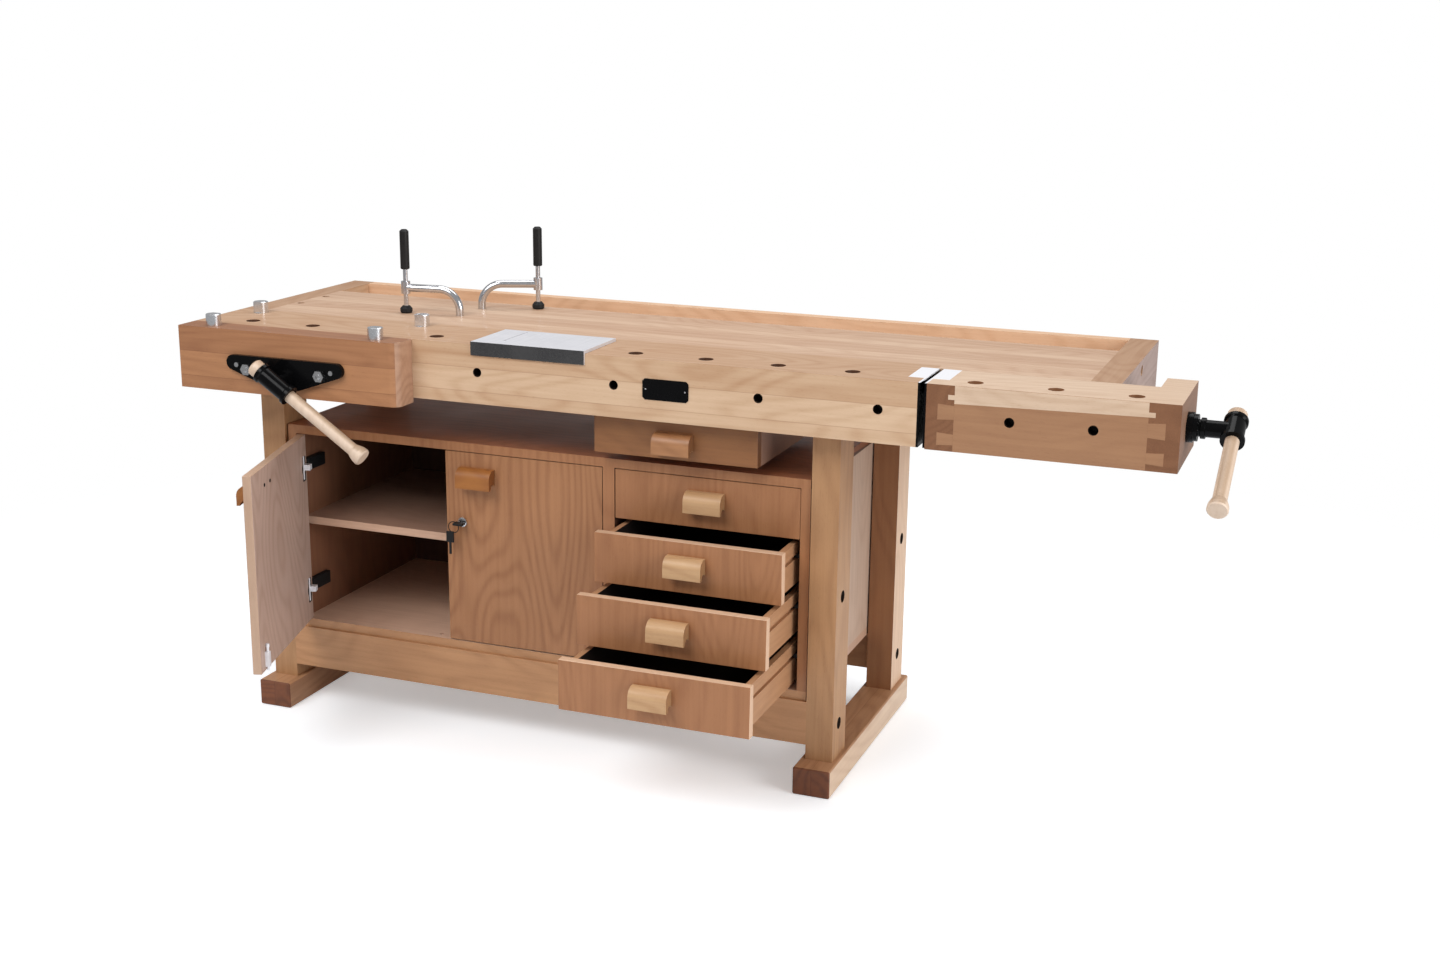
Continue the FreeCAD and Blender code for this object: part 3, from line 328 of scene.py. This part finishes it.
# Painted light: the rear legs' right-hand faces, paler as lit from the right.
wood("leg_side_lit", (226, 192, 162), (194, 156, 124), grain=Z)
# Painted shade: the brown inside of the dog strip's dog holes.
wood("dog_hole_shade", (96, 60, 38), (64, 38, 24), grain=Z, figure=0.05, end=0.0)
wood("bar_wood", (214, 192, 172), (182, 151, 122), grain=Z, figure=0.1)
# Painted shade: nearly black, for the drawer insides, the right door's hidden edges, the blind holes and the
# bolt pockets.
wood("shade_wood", (40, 28, 21), (24, 15, 11), figure=0.05)
metal("zinc", (200, 200, 202), (150, 150, 152), (0.2, 0.34))
metal("brushed", (226, 226, 231), (200, 200, 206), (0.3, 0.42), metallic=0.3, stretch=(1.0, 0.03, 1.0))
metal("lip_steel", (112, 111, 112), (66, 65, 67), (0.2, 0.36))
metal("flange_steel", (244, 244, 248), (226, 226, 232), (0.3, 0.44), metallic=0.15)
metal("casting", (5, 5, 6), (12, 12, 13), (0.13, 0.22), metallic=0.0, bump=0.0001, shine=0.1)
metal("aluminium", (232, 234, 238), (200, 202, 206), (0.18, 0.3))
metal("tube", (214, 215, 219), (176, 177, 181), (0.12, 0.22))
metal("plastic", (14, 14, 15), (28, 28, 29), (0.42, 0.6), metallic=0.0, bump=0.0001, shine=0.3)

DRAWERS = ["drawer_%d" % number for number in range(1, 5)]
NODE_FINISH = {
    "slab_wood": ["bench_slab", "tray_floor"],
    "strip_wood": ["dog_strip"],
    "back_board_wood": ["back_board"],
    "tail_top_wood": ["tail_vise_body"],
    "cap_wood": ["end_cap_left", "end_cap_right"],
    "jaw_wood": ["face_jaw"],
    "leg_wood": ["legs"],
    "foot_wood": ["feet", "top_bearers"],
    "rail_wood": ["front_stretcher", "rear_stretcher"],
    # The cabinet's top and till housing: their own brown, darkened as painted shade.
    "lid_tone_and_shade": ["cabinet_top", "till_housing"],
    "cupboard_floor_wood": ["cabinet_bottom"],
    "shelf_and_lit_side": ["cupboard_shelf"],
    "wall_wood": ["cabinet_side_left", "cabinet_side_right", "cabinet_divider"],
    # Painted shade on the cabinet's back.
    "inner_wall_shade": ["cabinet_back"],
    "door_wood": ["right_door", "left_door"],
    "drawer_wood": DRAWERS,
    "till_wood": ["till_drawer"],
    "pull_wood": ["left_door_fittings", "right_door_fittings"],
    "drawer_pull_wood": [drawer + "_handle" for drawer in DRAWERS],
    "till_pull_wood": ["till_handle"],
    "bar_wood": ["face_bar", "tail_bar"],
    "flange_steel": ["bench_jaw_plate", "tail_jaw_plate", "door_bolt"],
    "brushed": ["steel_plate"],
    "casting": ["face_casting", "face_screw", "vise_nuts", "tail_fittings", "tail_screw", "frame_bolts"],
    "aluminium": ["dog_jaw_left", "dog_jaw_right", "dog_bench_left", "dog_bench_right"],
    "tube": ["hold_left_arm", "hold_right_arm"],
    "plastic": ["door_key", "hinge_arms", "drawer_runners", "hold_left_pad", "hold_right_pad",
                "hold_left_spindle", "hold_right_spindle"],
}


def smooth(obj, edge=0.0008):
    """Softens the hard edges and shades the rounds smoothly."""
    obj.data.shade_smooth()
    bevel = obj.modifiers.new("soft edges", "BEVEL")
    bevel.width = edge
    bevel.segments = 2
    bevel.limit_method = "ANGLE"
    bevel.angle_limit = math.radians(40)
    bevel.harden_normals = True


for finish, names in NODE_FINISH.items():
    for name in names:
        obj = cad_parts[name]
        obj.data.materials.clear()
        obj.data.materials.append(FINISHES[finish])
        smooth(obj)

# ---------------------------------------------------------------- faces with another finish, some of them painted light and shade
# The left door stands open: distances along the leaf and through it, from its hinge line.
OPEN = math.radians(73.4)
HINGE_LINE = Vector((189.5, 75, 0))
ALONG_DOOR = Vector((math.cos(OPEN), -math.sin(OPEN), 0))
THROUGH_DOOR = Vector((math.sin(OPEN), math.cos(OPEN), 0))


def along_door(point):
    return (point - HINGE_LINE).dot(ALONG_DOOR)


def through_door(point):
    return (point - HINGE_LINE).dot(THROUGH_DOOR)


def measured(point, measure):
    """A measure is an axis or one of the two distances on the left door."""
    return measure(point) if callable(measure) else point[measure]


# Each of these makes a test for the middle of a face.
def at_least(measure, plane):
    return lambda p: measured(p, measure) > plane - NEAR


def more_than(measure, plane):
    return lambda p: measured(p, measure) > plane + NEAR


def at_most(measure, plane):
    return lambda p: measured(p, measure) < plane + NEAR


def less_than(measure, plane):
    return lambda p: measured(p, measure) < plane - NEAR


def all_of(*tests):
    return lambda p: all(test(p) for test in tests)


def any_of(*tests):
    return lambda p: any(test(p) for test in tests)


def none_of(*tests):
    return lambda p: not any(test(p) for test in tests)


def inside_holes(first, second, radius, spots):
    """Within round holes of one radius at these spots, seen along the third axis."""
    reach = radius + NEAR
    return lambda p: any(math.hypot(p[first] - a, p[second] - b) < reach for a, b in spots)


def second_finish(name, finish, belongs):
    """Gives the faces whose middle passes the test another finish."""
    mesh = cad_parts[name].data
    mesh.materials.append(FINISHES[finish])
    for face in mesh.polygons:
        middle = face.center / MM - BENCH_ORIGIN
        if belongs(middle):
            face.material_index = len(mesh.materials) - 1


def finish_metal():
    """Fittings share a node with a wooden pull, the jaw liners are black under bright flanges,
    and the nuts, rods and screws of the vises are bright."""
    around_boss = lambda p: abs(p.x - FACE_SCREW_X) < BOSS_CLEAR
    casting_nuts = all_of(less_than(Y, CASTING_FACE), none_of(around_boss))
    bolt_guide = all_of(more_than(along_door, DOOR_WIDTH / 2), at_most(Z, BOLT_GUIDE_TOP))
    second_finish("right_door_fittings", "zinc", any_of(at_least(Y, CABINET_Y[0]), less_than(Z, PULL_LOW)))
    second_finish("left_door_fittings", "plastic", more_than(through_door, 0))
    second_finish("left_door_fittings", "flange_steel", bolt_guide)
    for name in ("bench_jaw_plate", "tail_jaw_plate"):
        second_finish(name, "casting", less_than(Z, HEIGHT - LINER_FLANGE_THICK))
    second_finish("steel_plate", "lip_steel", at_most(Y, -PLATE_LIP))
    second_finish("face_casting", "zinc", any_of(casting_nuts, more_than(Y, JAW_FACE)))
    second_finish("tail_fittings", "zinc", at_most(X, FRONT_BOARD_X[1]))
    second_finish("tail_screw", "zinc", less_than(X, TAIL_RING_END))
    second_finish("face_screw", "zinc", more_than(Y, JAW_FACE))
    for side in ("left", "right"):
        second_finish("hold_%s_spindle" % side, "tube", less_than(Z, GRIP_LOW))


def finish_doors_and_cabinet():
    """Pale door lining and edges, dark hidden edges painted as the shade in the gaps, painted shade inside
    the cabinet and under its top, and the fronts and outsides of the cabinet, with painted light on the right
    outside and the till housing's right side.
    """
    front, back = CABINET_Y
    between_faces = all_of(more_than(Y, front), less_than(Y, front + DOOR_THICK))
    hidden_edges = any_of(at_least(X, RIGHT_DOOR_HINGE_X), at_most(Z, DOOR_Z[0]))
    pale_edges = any_of(at_least(along_door, DOOR_WIDTH), at_least(Z, DOOR_Z[1]))
    second_finish("left_door", "lining_wood", at_least(through_door, DOOR_THICK))
    second_finish("left_door", "door_edge_wood", pale_edges)
    # Painted shade on the right door's hinge and bottom edges, for the dark gaps.
    second_finish("right_door", "shade_wood", all_of(between_faces, hidden_edges))
    # Painted shade under the cabinet's top.
    second_finish("cabinet_top", "inner_wall_shade", lambda p: p.z < CEILING_SHADE_TOP)
    for name in ("cabinet_side_left", "cabinet_side_right", "cabinet_divider", "cabinet_top"):
        second_finish(name, "drawer_wood", at_most(Y, front))
    second_finish("cabinet_bottom", "rail_wood", at_most(Y, front))
    # Painted shade on the divider's inner faces.
    second_finish("cabinet_divider", "inner_wall_shade", more_than(Y, front))
    second_finish("cupboard_shelf", "shelf_edge_wood", at_most(Y, SHELF_FRONT))
    second_finish("cabinet_side_left", "drawer_wood", at_most(X, CABINET_X[0]))
    # Painted light on the cabinet's right outside.
    second_finish("cabinet_side_right", "cabinet_side_lit", at_least(X, CABINET_X[1]))
    second_finish("cabinet_back", "drawer_wood", at_least(Y, back))
    # Painted light on the till housing's right side.
    second_finish("till_housing", "shelf_and_lit_side", at_least(X, TILL_RIGHT))


def finish_base_and_top():
    """The painted light and shade and the end-grain faces of the feet, legs, jaw, cap and tail vise: painted
    light on the right-hand sides of the feet and rear legs, painted shade on the rear legs and the right ends
    of the cap and tail vise.
    """
    rear_legs = at_least(Y, REAR_LEG_Y)
    on_front_board = all_of(more_than(X, FRONT_BOARD_X[0]), less_than(X, FRONT_BOARD_X[1]))
    foot_ends = any_of(at_most(Y, FOOT_Y[0] + FOOT_EASE), at_least(Y, FOOT_Y[1] - FOOT_EASE))
    second_finish("feet", "foot_end_wood", foot_ends)
    # Painted light on the feet's right-hand faces.
    second_finish("feet", "foot_side_lit", at_least(X, FOOT_RIGHT))
    # Painted shade on the rear legs.
    second_finish("legs", "brown_shade_wood", rear_legs)
    # Painted light on the rear legs' right-hand faces.
    second_finish("legs", "leg_side_lit", all_of(rear_legs, at_least(X, LEGS_OUTSIDE[1])))
    second_finish("face_jaw", "jaw_end_wood", at_least(X, JAW_END_X))
    second_finish("end_cap_right", "shaded_cap_wood", at_least(X, TOP_LENGTH))
    second_finish("tail_vise_body", "tail_front_wood", all_of(on_front_board, less_than(Y, FRONT_BOARD_BACK)))
    # Painted shade on the tail vise's right end face.
    second_finish("tail_vise_body", "tail_end_wood", at_least(X, TAIL_RIGHT))
    second_finish("tail_vise_body", "end_grain", all_of(at_most(Y, 0), none_of(on_front_board)))
    second_finish("tail_vise_body", "tail_top_wood", at_least(Z, HEIGHT))


def finish_drawers():
    """Paler boxes, nearly black inside as painted shade. The pulled-out fronts have pale edges; the closed
    front's edges keep its darker tone as painted shade in the gaps.
    """
    for number, (drawer, out) in enumerate(zip(DRAWERS, DRAWER_OUT)):
        back = CABINET_Y[0] + FRONT_THICK - out
        top = DRAWER_TOP - number * DRAWER_PITCH
        low = top - FRONT_HEIGHT
        inside = all_of(at_least(X, BOX_INSIDE_X[0]), at_most(X, BOX_INSIDE_X[1]),
                        more_than(Y, back), less_than(Y, back + BOX_LENGTH),
                        more_than(Z, low + BOX_TRIM[0]), less_than(Z, top - BOX_TRIM[1]))
        rim = any_of(lambda p: p.x > FRONT_EDGE_X, at_least(Z, top))
        second_finish(drawer, "box_wood", more_than(Y, back))
        # Painted shade inside the drawer boxes.
        second_finish(drawer, "shade_wood", inside)
        # The closed drawer's edges keep the front's darker tone, so its gaps read as shade.
        second_finish(drawer, "edge_wood" if out else "drawer_wood", all_of(less_than(Y, back), rim))


def finish_holes():
    """Painted shade: the dog holes are brown inside, the blind holes in the front and the bolt pockets nearly
    black.
    """
    radius, depth = SIDE_HOLE
    below_front = all_of(more_than(Y, 0), at_most(Y, depth))
    below_top = less_than(Z, HEIGHT)
    strip_dogs = inside_holes(X, Y, DOG_RADIUS, STRIP_DOGS)
    tail_dogs = inside_holes(X, Y, DOG_RADIUS, TAIL_DOGS)
    # Painted shade inside the dog strip's dog holes.
    second_finish("dog_strip", "dog_hole_shade", all_of(below_top, strip_dogs))
    # Painted shade inside the tail vise's dog holes.
    second_finish("tail_vise_body", "brown_shade_wood", all_of(below_top, tail_dogs))
    # Painted shade inside the blind holes in the front.
    second_finish("dog_strip", "shade_wood", all_of(below_front, inside_holes(X, Z, radius, STRIP_HOLES)))
    second_finish("tail_vise_body", "shade_wood", all_of(below_front, inside_holes(X, Z, radius, TAIL_HOLES)))
    radius, depth = BOLT_POCKET
    left, right = LEGS_OUTSIDE
    below_side = any_of(all_of(more_than(X, left), at_most(X, left + depth)),
                        all_of(less_than(X, right), at_least(X, right - depth)))
    # Painted shade inside the bolt pockets.
    second_finish("legs", "shade_wood", all_of(below_side, inside_holes(Y, Z, radius, BOLT_POCKETS)))


finish_metal()
finish_doors_and_cabinet()
finish_base_and_top()
finish_drawers()
finish_holes()


# ---------------------------------------------------------------- detail pieces
FORWARD = Vector((0, -1, 0))
TRIM_EDGE = 0.0001          # bevel of thin and small pieces, in metres


def piece(name, mesh, finish, body=ROOT, edge=0.0004):
    """A detail that only the scene has, riding on one of the bodies."""
    data = bpy.data.meshes.new(name)
    mesh.to_mesh(data)
    mesh.free()
    obj = bpy.data.objects.new(name, data)
    bpy.context.scene.collection.objects.link(obj)
    obj.data.materials.append(FINISHES[finish])
    smooth(obj, edge)
    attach(obj, body)
    return obj


def outline_prism(outline, direction):
    """A flat outline of bench points, extruded along a vector in millimetres."""
    mesh = bmesh.new()
    near = [mesh.verts.new(place(*point)) for point in outline]
    far = [mesh.verts.new(vert.co + Vector(direction) * MM) for vert in near]
    mesh.faces.new(near)
    mesh.faces.new(far)
    for i, vert in enumerate(near):
        after = (i + 1) % len(near)
        mesh.faces.new((vert, near[after], far[after], far[i]))
    bmesh.ops.recalc_face_normals(mesh, faces=mesh.faces)
    return mesh


def front_plate(corners, thick):
    """A plate on the front face of the bench, from the (x, z) corners of its outline."""
    return outline_prism([(x, 0, z) for x, z in corners], FORWARD * thick)


def lathe(profile, base, direction, sides=40):
    """Turned from (distance along, radius) points in millimetres."""
    mesh = bmesh.new()
    turn = Vector(direction).to_track_quat("Z", "Y").to_matrix()
    rings = []
    for along, radius in profile:
        ring = []
        for i in range(sides):
            angle = math.tau * i / sides
            offset = turn @ Vector((radius * math.cos(angle), radius * math.sin(angle), along))
            ring.append(mesh.verts.new(place(*(Vector(base) + offset))))
        rings.append(ring)
    for lower, upper in zip(rings, rings[1:]):
        for i in range(sides):
            after = (i + 1) % sides
            mesh.faces.new((lower[i], lower[after], upper[after], upper[i]))
    mesh.faces.new(rings[0])
    mesh.faces.new(rings[-1])
    bmesh.ops.recalc_face_normals(mesh, faces=mesh.faces)
    return mesh


def button(radius, wall, height, crown):
    """The profile of a small head: a straight wall, then a cone up to its crown radius."""
    return [(0, radius), (wall, radius), (height, crown)]


def nameplate():
    """A bare plate with cut corners and a pin at each end."""
    low_x, high_x, low_z, high_z, cut = 1041, 1138, 790, 832, 5
    thick, pin_inset = 1.4, 7
    corners = [(low_x + cut, low_z), (high_x - cut, low_z), (high_x, low_z + cut), (high_x, high_z - cut),
               (high_x - cut, high_z), (low_x + cut, high_z), (low_x, high_z - cut), (low_x, low_z + cut)]
    piece("nameplate", front_plate(corners, thick), "casting")
    for x in (low_x + pin_inset, high_x - pin_inset):
        pin = lathe(button(1.6, 0.5, 0.9, 0.8), (x, -thick, (low_z + high_z) / 2), FORWARD, 16)
        piece("nameplate_pin_%d" % x, pin, "zinc", edge=TRIM_EDGE)


def dovetails():
    """The tails of the vise's front board, let into the end grain of its two blocks."""
    tail_heights = ((834, 804), (780, 756))
    tail_length, flare = 31, 2
    finger_high, finger_low, finger_length = 852, 843, 12
    band_left, band_right, band_top = 836, 843, 869.5
    inlay_thick, band_thick = 0.3, 0.25
    left, right = FRONT_BOARD_X
    for joint, shoulder, outwards in (("left", left, -1), ("right", right, 1)):
        end = shoulder + outwards * tail_length
        for number, (high, low) in enumerate(tail_heights):
            corners = [(shoulder, low + flare), (end, low), (end, high), (shoulder, high - flare)]
            tail = front_plate(corners, inlay_thick)
            name = "tail_%s_%d" % (joint, number)
            piece(name, tail, "tail_front_wood", "tail_vise", TRIM_EDGE)
        tip = shoulder + outwards * finger_length
        corners = [(shoulder, finger_low), (tip, finger_low), (tip, finger_high), (shoulder, finger_high)]
        finger = front_plate(corners, inlay_thick)
        piece("finger_" + joint, finger, "tail_top_wood", "tail_vise", TRIM_EDGE)
    corners = [(left, band_left), (right, band_right), (right, band_top), (left, band_top)]
    sapwood = front_plate(corners, band_thick)
    piece("sapwood_band", sapwood, "tail_top_wood", "tail_vise", TRIM_EDGE)


def small_metal():
    """The rod ends in the casting's nuts, the lock's ring, the pull's screws and the neck's collar."""
    for x in ROD_XS:
        socket = lathe(button(5.5, 0.4, 1.2, 3.0), (x, NUT_FACE, ROD_Z), FORWARD, 24)
        piece("nut_end_%d" % x, socket, "zinc", "face_jaw", TRIM_EDGE)
    lock_x, lock_y, lock_z = LOCK
    clear_of_lock = 0.1
    profile = [(0, 10.5), (1.0, 10.5), (1.6, 9.2), (1.6, 4.0)]
    ring = lathe(profile, (lock_x, lock_y - clear_of_lock, lock_z), FORWARD, 36)
    piece("lock_ring", ring, "zinc", "right_door", TRIM_EDGE)
    screw_height = 583
    for number, along in enumerate((248.5, 284.5)):
        foot = HINGE_LINE + ALONG_DOOR * along + THROUGH_DOOR * DOOR_THICK + Vector((0, 0, screw_height))
        screw = lathe(button(4.0, 0.5, 0.9, 2.0), foot, THROUGH_DOOR, 20)
        piece("pull_screw_%d" % number, screw, "plastic", "left_door", TRIM_EDGE)
    collar_x, radius, eased_radius, length, ease = 2094, 19.5, 17.0, 10, 1
    profile = [(0, eased_radius), (ease, radius), (length - ease, radius), (length, eased_radius)]
    collar = lathe(profile, (collar_x, *TAIL_AXIS), (1, 0, 0))
    piece("tail_neck_collar", collar, "casting", "tail_screw")


def hinge_metal():
    """On each hinge of the left door: a bright link, and a bright edge along the black flange."""
    raised = 4
    flange_face = HINGE_LINE + THROUGH_DOOR * (DOOR_THICK + HINGE_FLANGE_THICK)
    for z in HINGE_ZS:
        for name, along_low, along_high, half, out in (("link", 11, 26, 6, 14), ("edge", 27, 29, 26, 2.5)):
            corners = ((along_low, -half), (along_high, -half), (along_high, half), (along_low, half))
            middle = flange_face + Vector((0, 0, z + raised))
            outline = [middle + ALONG_DOOR * along + Vector((0, 0, rise)) for along, rise in corners]
            metal_piece = outline_prism(outline, THROUGH_DOOR * out)
            piece("hinge_%s_%d" % (name, z), metal_piece, "flange_steel", "left_door", 0.0002)


nameplate()
dovetails()
small_metal()
hinge_metal()

# ---------------------------------------------------------------- floor, light and camera
WHITE = (1.0, 1.0, 1.0, 1.0)
FLOOR_HALF, FLOOR_Z = 6.0, -0.0005
FLOOR_TONE, FLOOR_ROUGHNESS = (242, 247, 252), (0.8, 0.9)
FLOOR_FADE = (1.5, 2.8)     # metres from the middle between which the floor fades out
FLOOR_GLOW = 0.32
WORLD_LIGHT = 0.42
CAMERA_AT = place(2421.53, -3196.82, 1549.08)
YAW, PITCH, ROLL = (math.radians(angle) for angle in (-20.8286, -14.8301, -0.6770))
FOCAL_PIXELS, PICTURE_WIDTH, SENSOR = 1817.99, 1440, 36.0


def add_floor():
    """A pale floor that fades into the backdrop and glows a little towards the camera only, so
    that it reads as white as the backdrop and keeps the shadow."""
    bpy.ops.mesh.primitive_plane_add(size=2 * FLOOR_HALF, location=(0, 0, FLOOR_Z))
    floor = bpy.context.object
    floor.name = "floor"
    shader = Shader("floor")
    grain = shader.noise(shader.place, 2.0, 2.0)
    roughness = shader.between(grain, *MOST_NOISE, *FLOOR_ROUGHNESS)
    floor.data.materials.append(shader.finish(paint(*FLOOR_TONE), roughness))
    distance = shader.tree.nodes.new("ShaderNodeVectorMath")
    distance.operation = "LENGTH"
    shader.put(distance.inputs[0], shader.place)
    fade = shader.between(distance.outputs["Value"], *FLOOR_FADE, 1.0, 0.0)
    shader.put(shader.surface.inputs["Alpha"], fade)
    light_path = shader.tree.nodes.new("ShaderNodeLightPath")
    glow = shader.math("MULTIPLY", light_path.outputs["Is Camera Ray"], FLOOR_GLOW)
    shader.surface.inputs["Emission Color"].default_value = WHITE
    shader.put(shader.surface.inputs["Emission Strength"], glow)


def add_world():
    """A plain white studio: full white for the camera, softer as a light."""
    world = bpy.data.worlds.new("studio")
    bpy.context.scene.world = world
    world.use_nodes = True
    nodes, links = world.node_tree.nodes, world.node_tree.links
    sky = nodes["Background"]
    light_path = nodes.new("ShaderNodeLightPath")
    strength = nodes.new("ShaderNodeMapRange")
    links.new(light_path.outputs["Is Camera Ray"], strength.inputs[0])
    strength.inputs["To Min"].default_value = WORLD_LIGHT
    strength.inputs["To Max"].default_value = 1.0
    links.new(strength.outputs[0], sky.inputs["Strength"])
    sky.inputs["Color"].default_value = WHITE


def lamp(name, where, target, size, watts):
    """An area lamp aimed at a target."""
    light = bpy.data.lights.new(name, "AREA")
    light.shape = "RECTANGLE"
    light.size, light.size_y = size
    light.energy = watts
    obj = bpy.data.objects.new(name, light)
    bpy.context.scene.collection.objects.link(obj)
    obj.location = where
    obj.rotation_euler = (Vector(target) - Vector(where)).to_track_quat("-Z", "Y").to_euler()


def add_camera():
    """The photograph's camera, worked out from the straight edges of the bench."""
    forward = Vector((math.sin(YAW) * math.cos(PITCH), math.cos(YAW) * math.cos(PITCH), math.sin(PITCH)))
    level = Vector((math.cos(YAW), -math.sin(YAW), 0))
    below = forward.cross(level)
    across = math.cos(ROLL) * level + math.sin(ROLL) * below
    down = math.cos(ROLL) * below - math.sin(ROLL) * level
    camera = bpy.data.objects.new("camera", bpy.data.cameras.new("camera"))
    bpy.context.scene.collection.objects.link(camera)
    camera.data.sensor_width = SENSOR
    camera.data.lens = FOCAL_PIXELS / PICTURE_WIDTH * SENSOR
    turn = Matrix((across, -down, -forward)).transposed()
    camera.matrix_world = Matrix.Translation(CAMERA_AT) @ turn.to_4x4()
    bpy.context.scene.camera = camera


add_floor()
add_world()
lamp("key", (-1.2, -2.6, 3.2), (0.0, 0.0, 0.5), (2.4, 1.8), 90)
lamp("fill", (3.4, -1.0, 1.5), (0.4, 0.0, 0.4), (2.0, 2.0), 75)
lamp("top", (-0.2, 0.8, 3.4), (0.0, 0.1, 0.8), (3.0, 1.6), 45)
add_camera()
bpy.context.scene.view_settings.view_transform = "Standard"
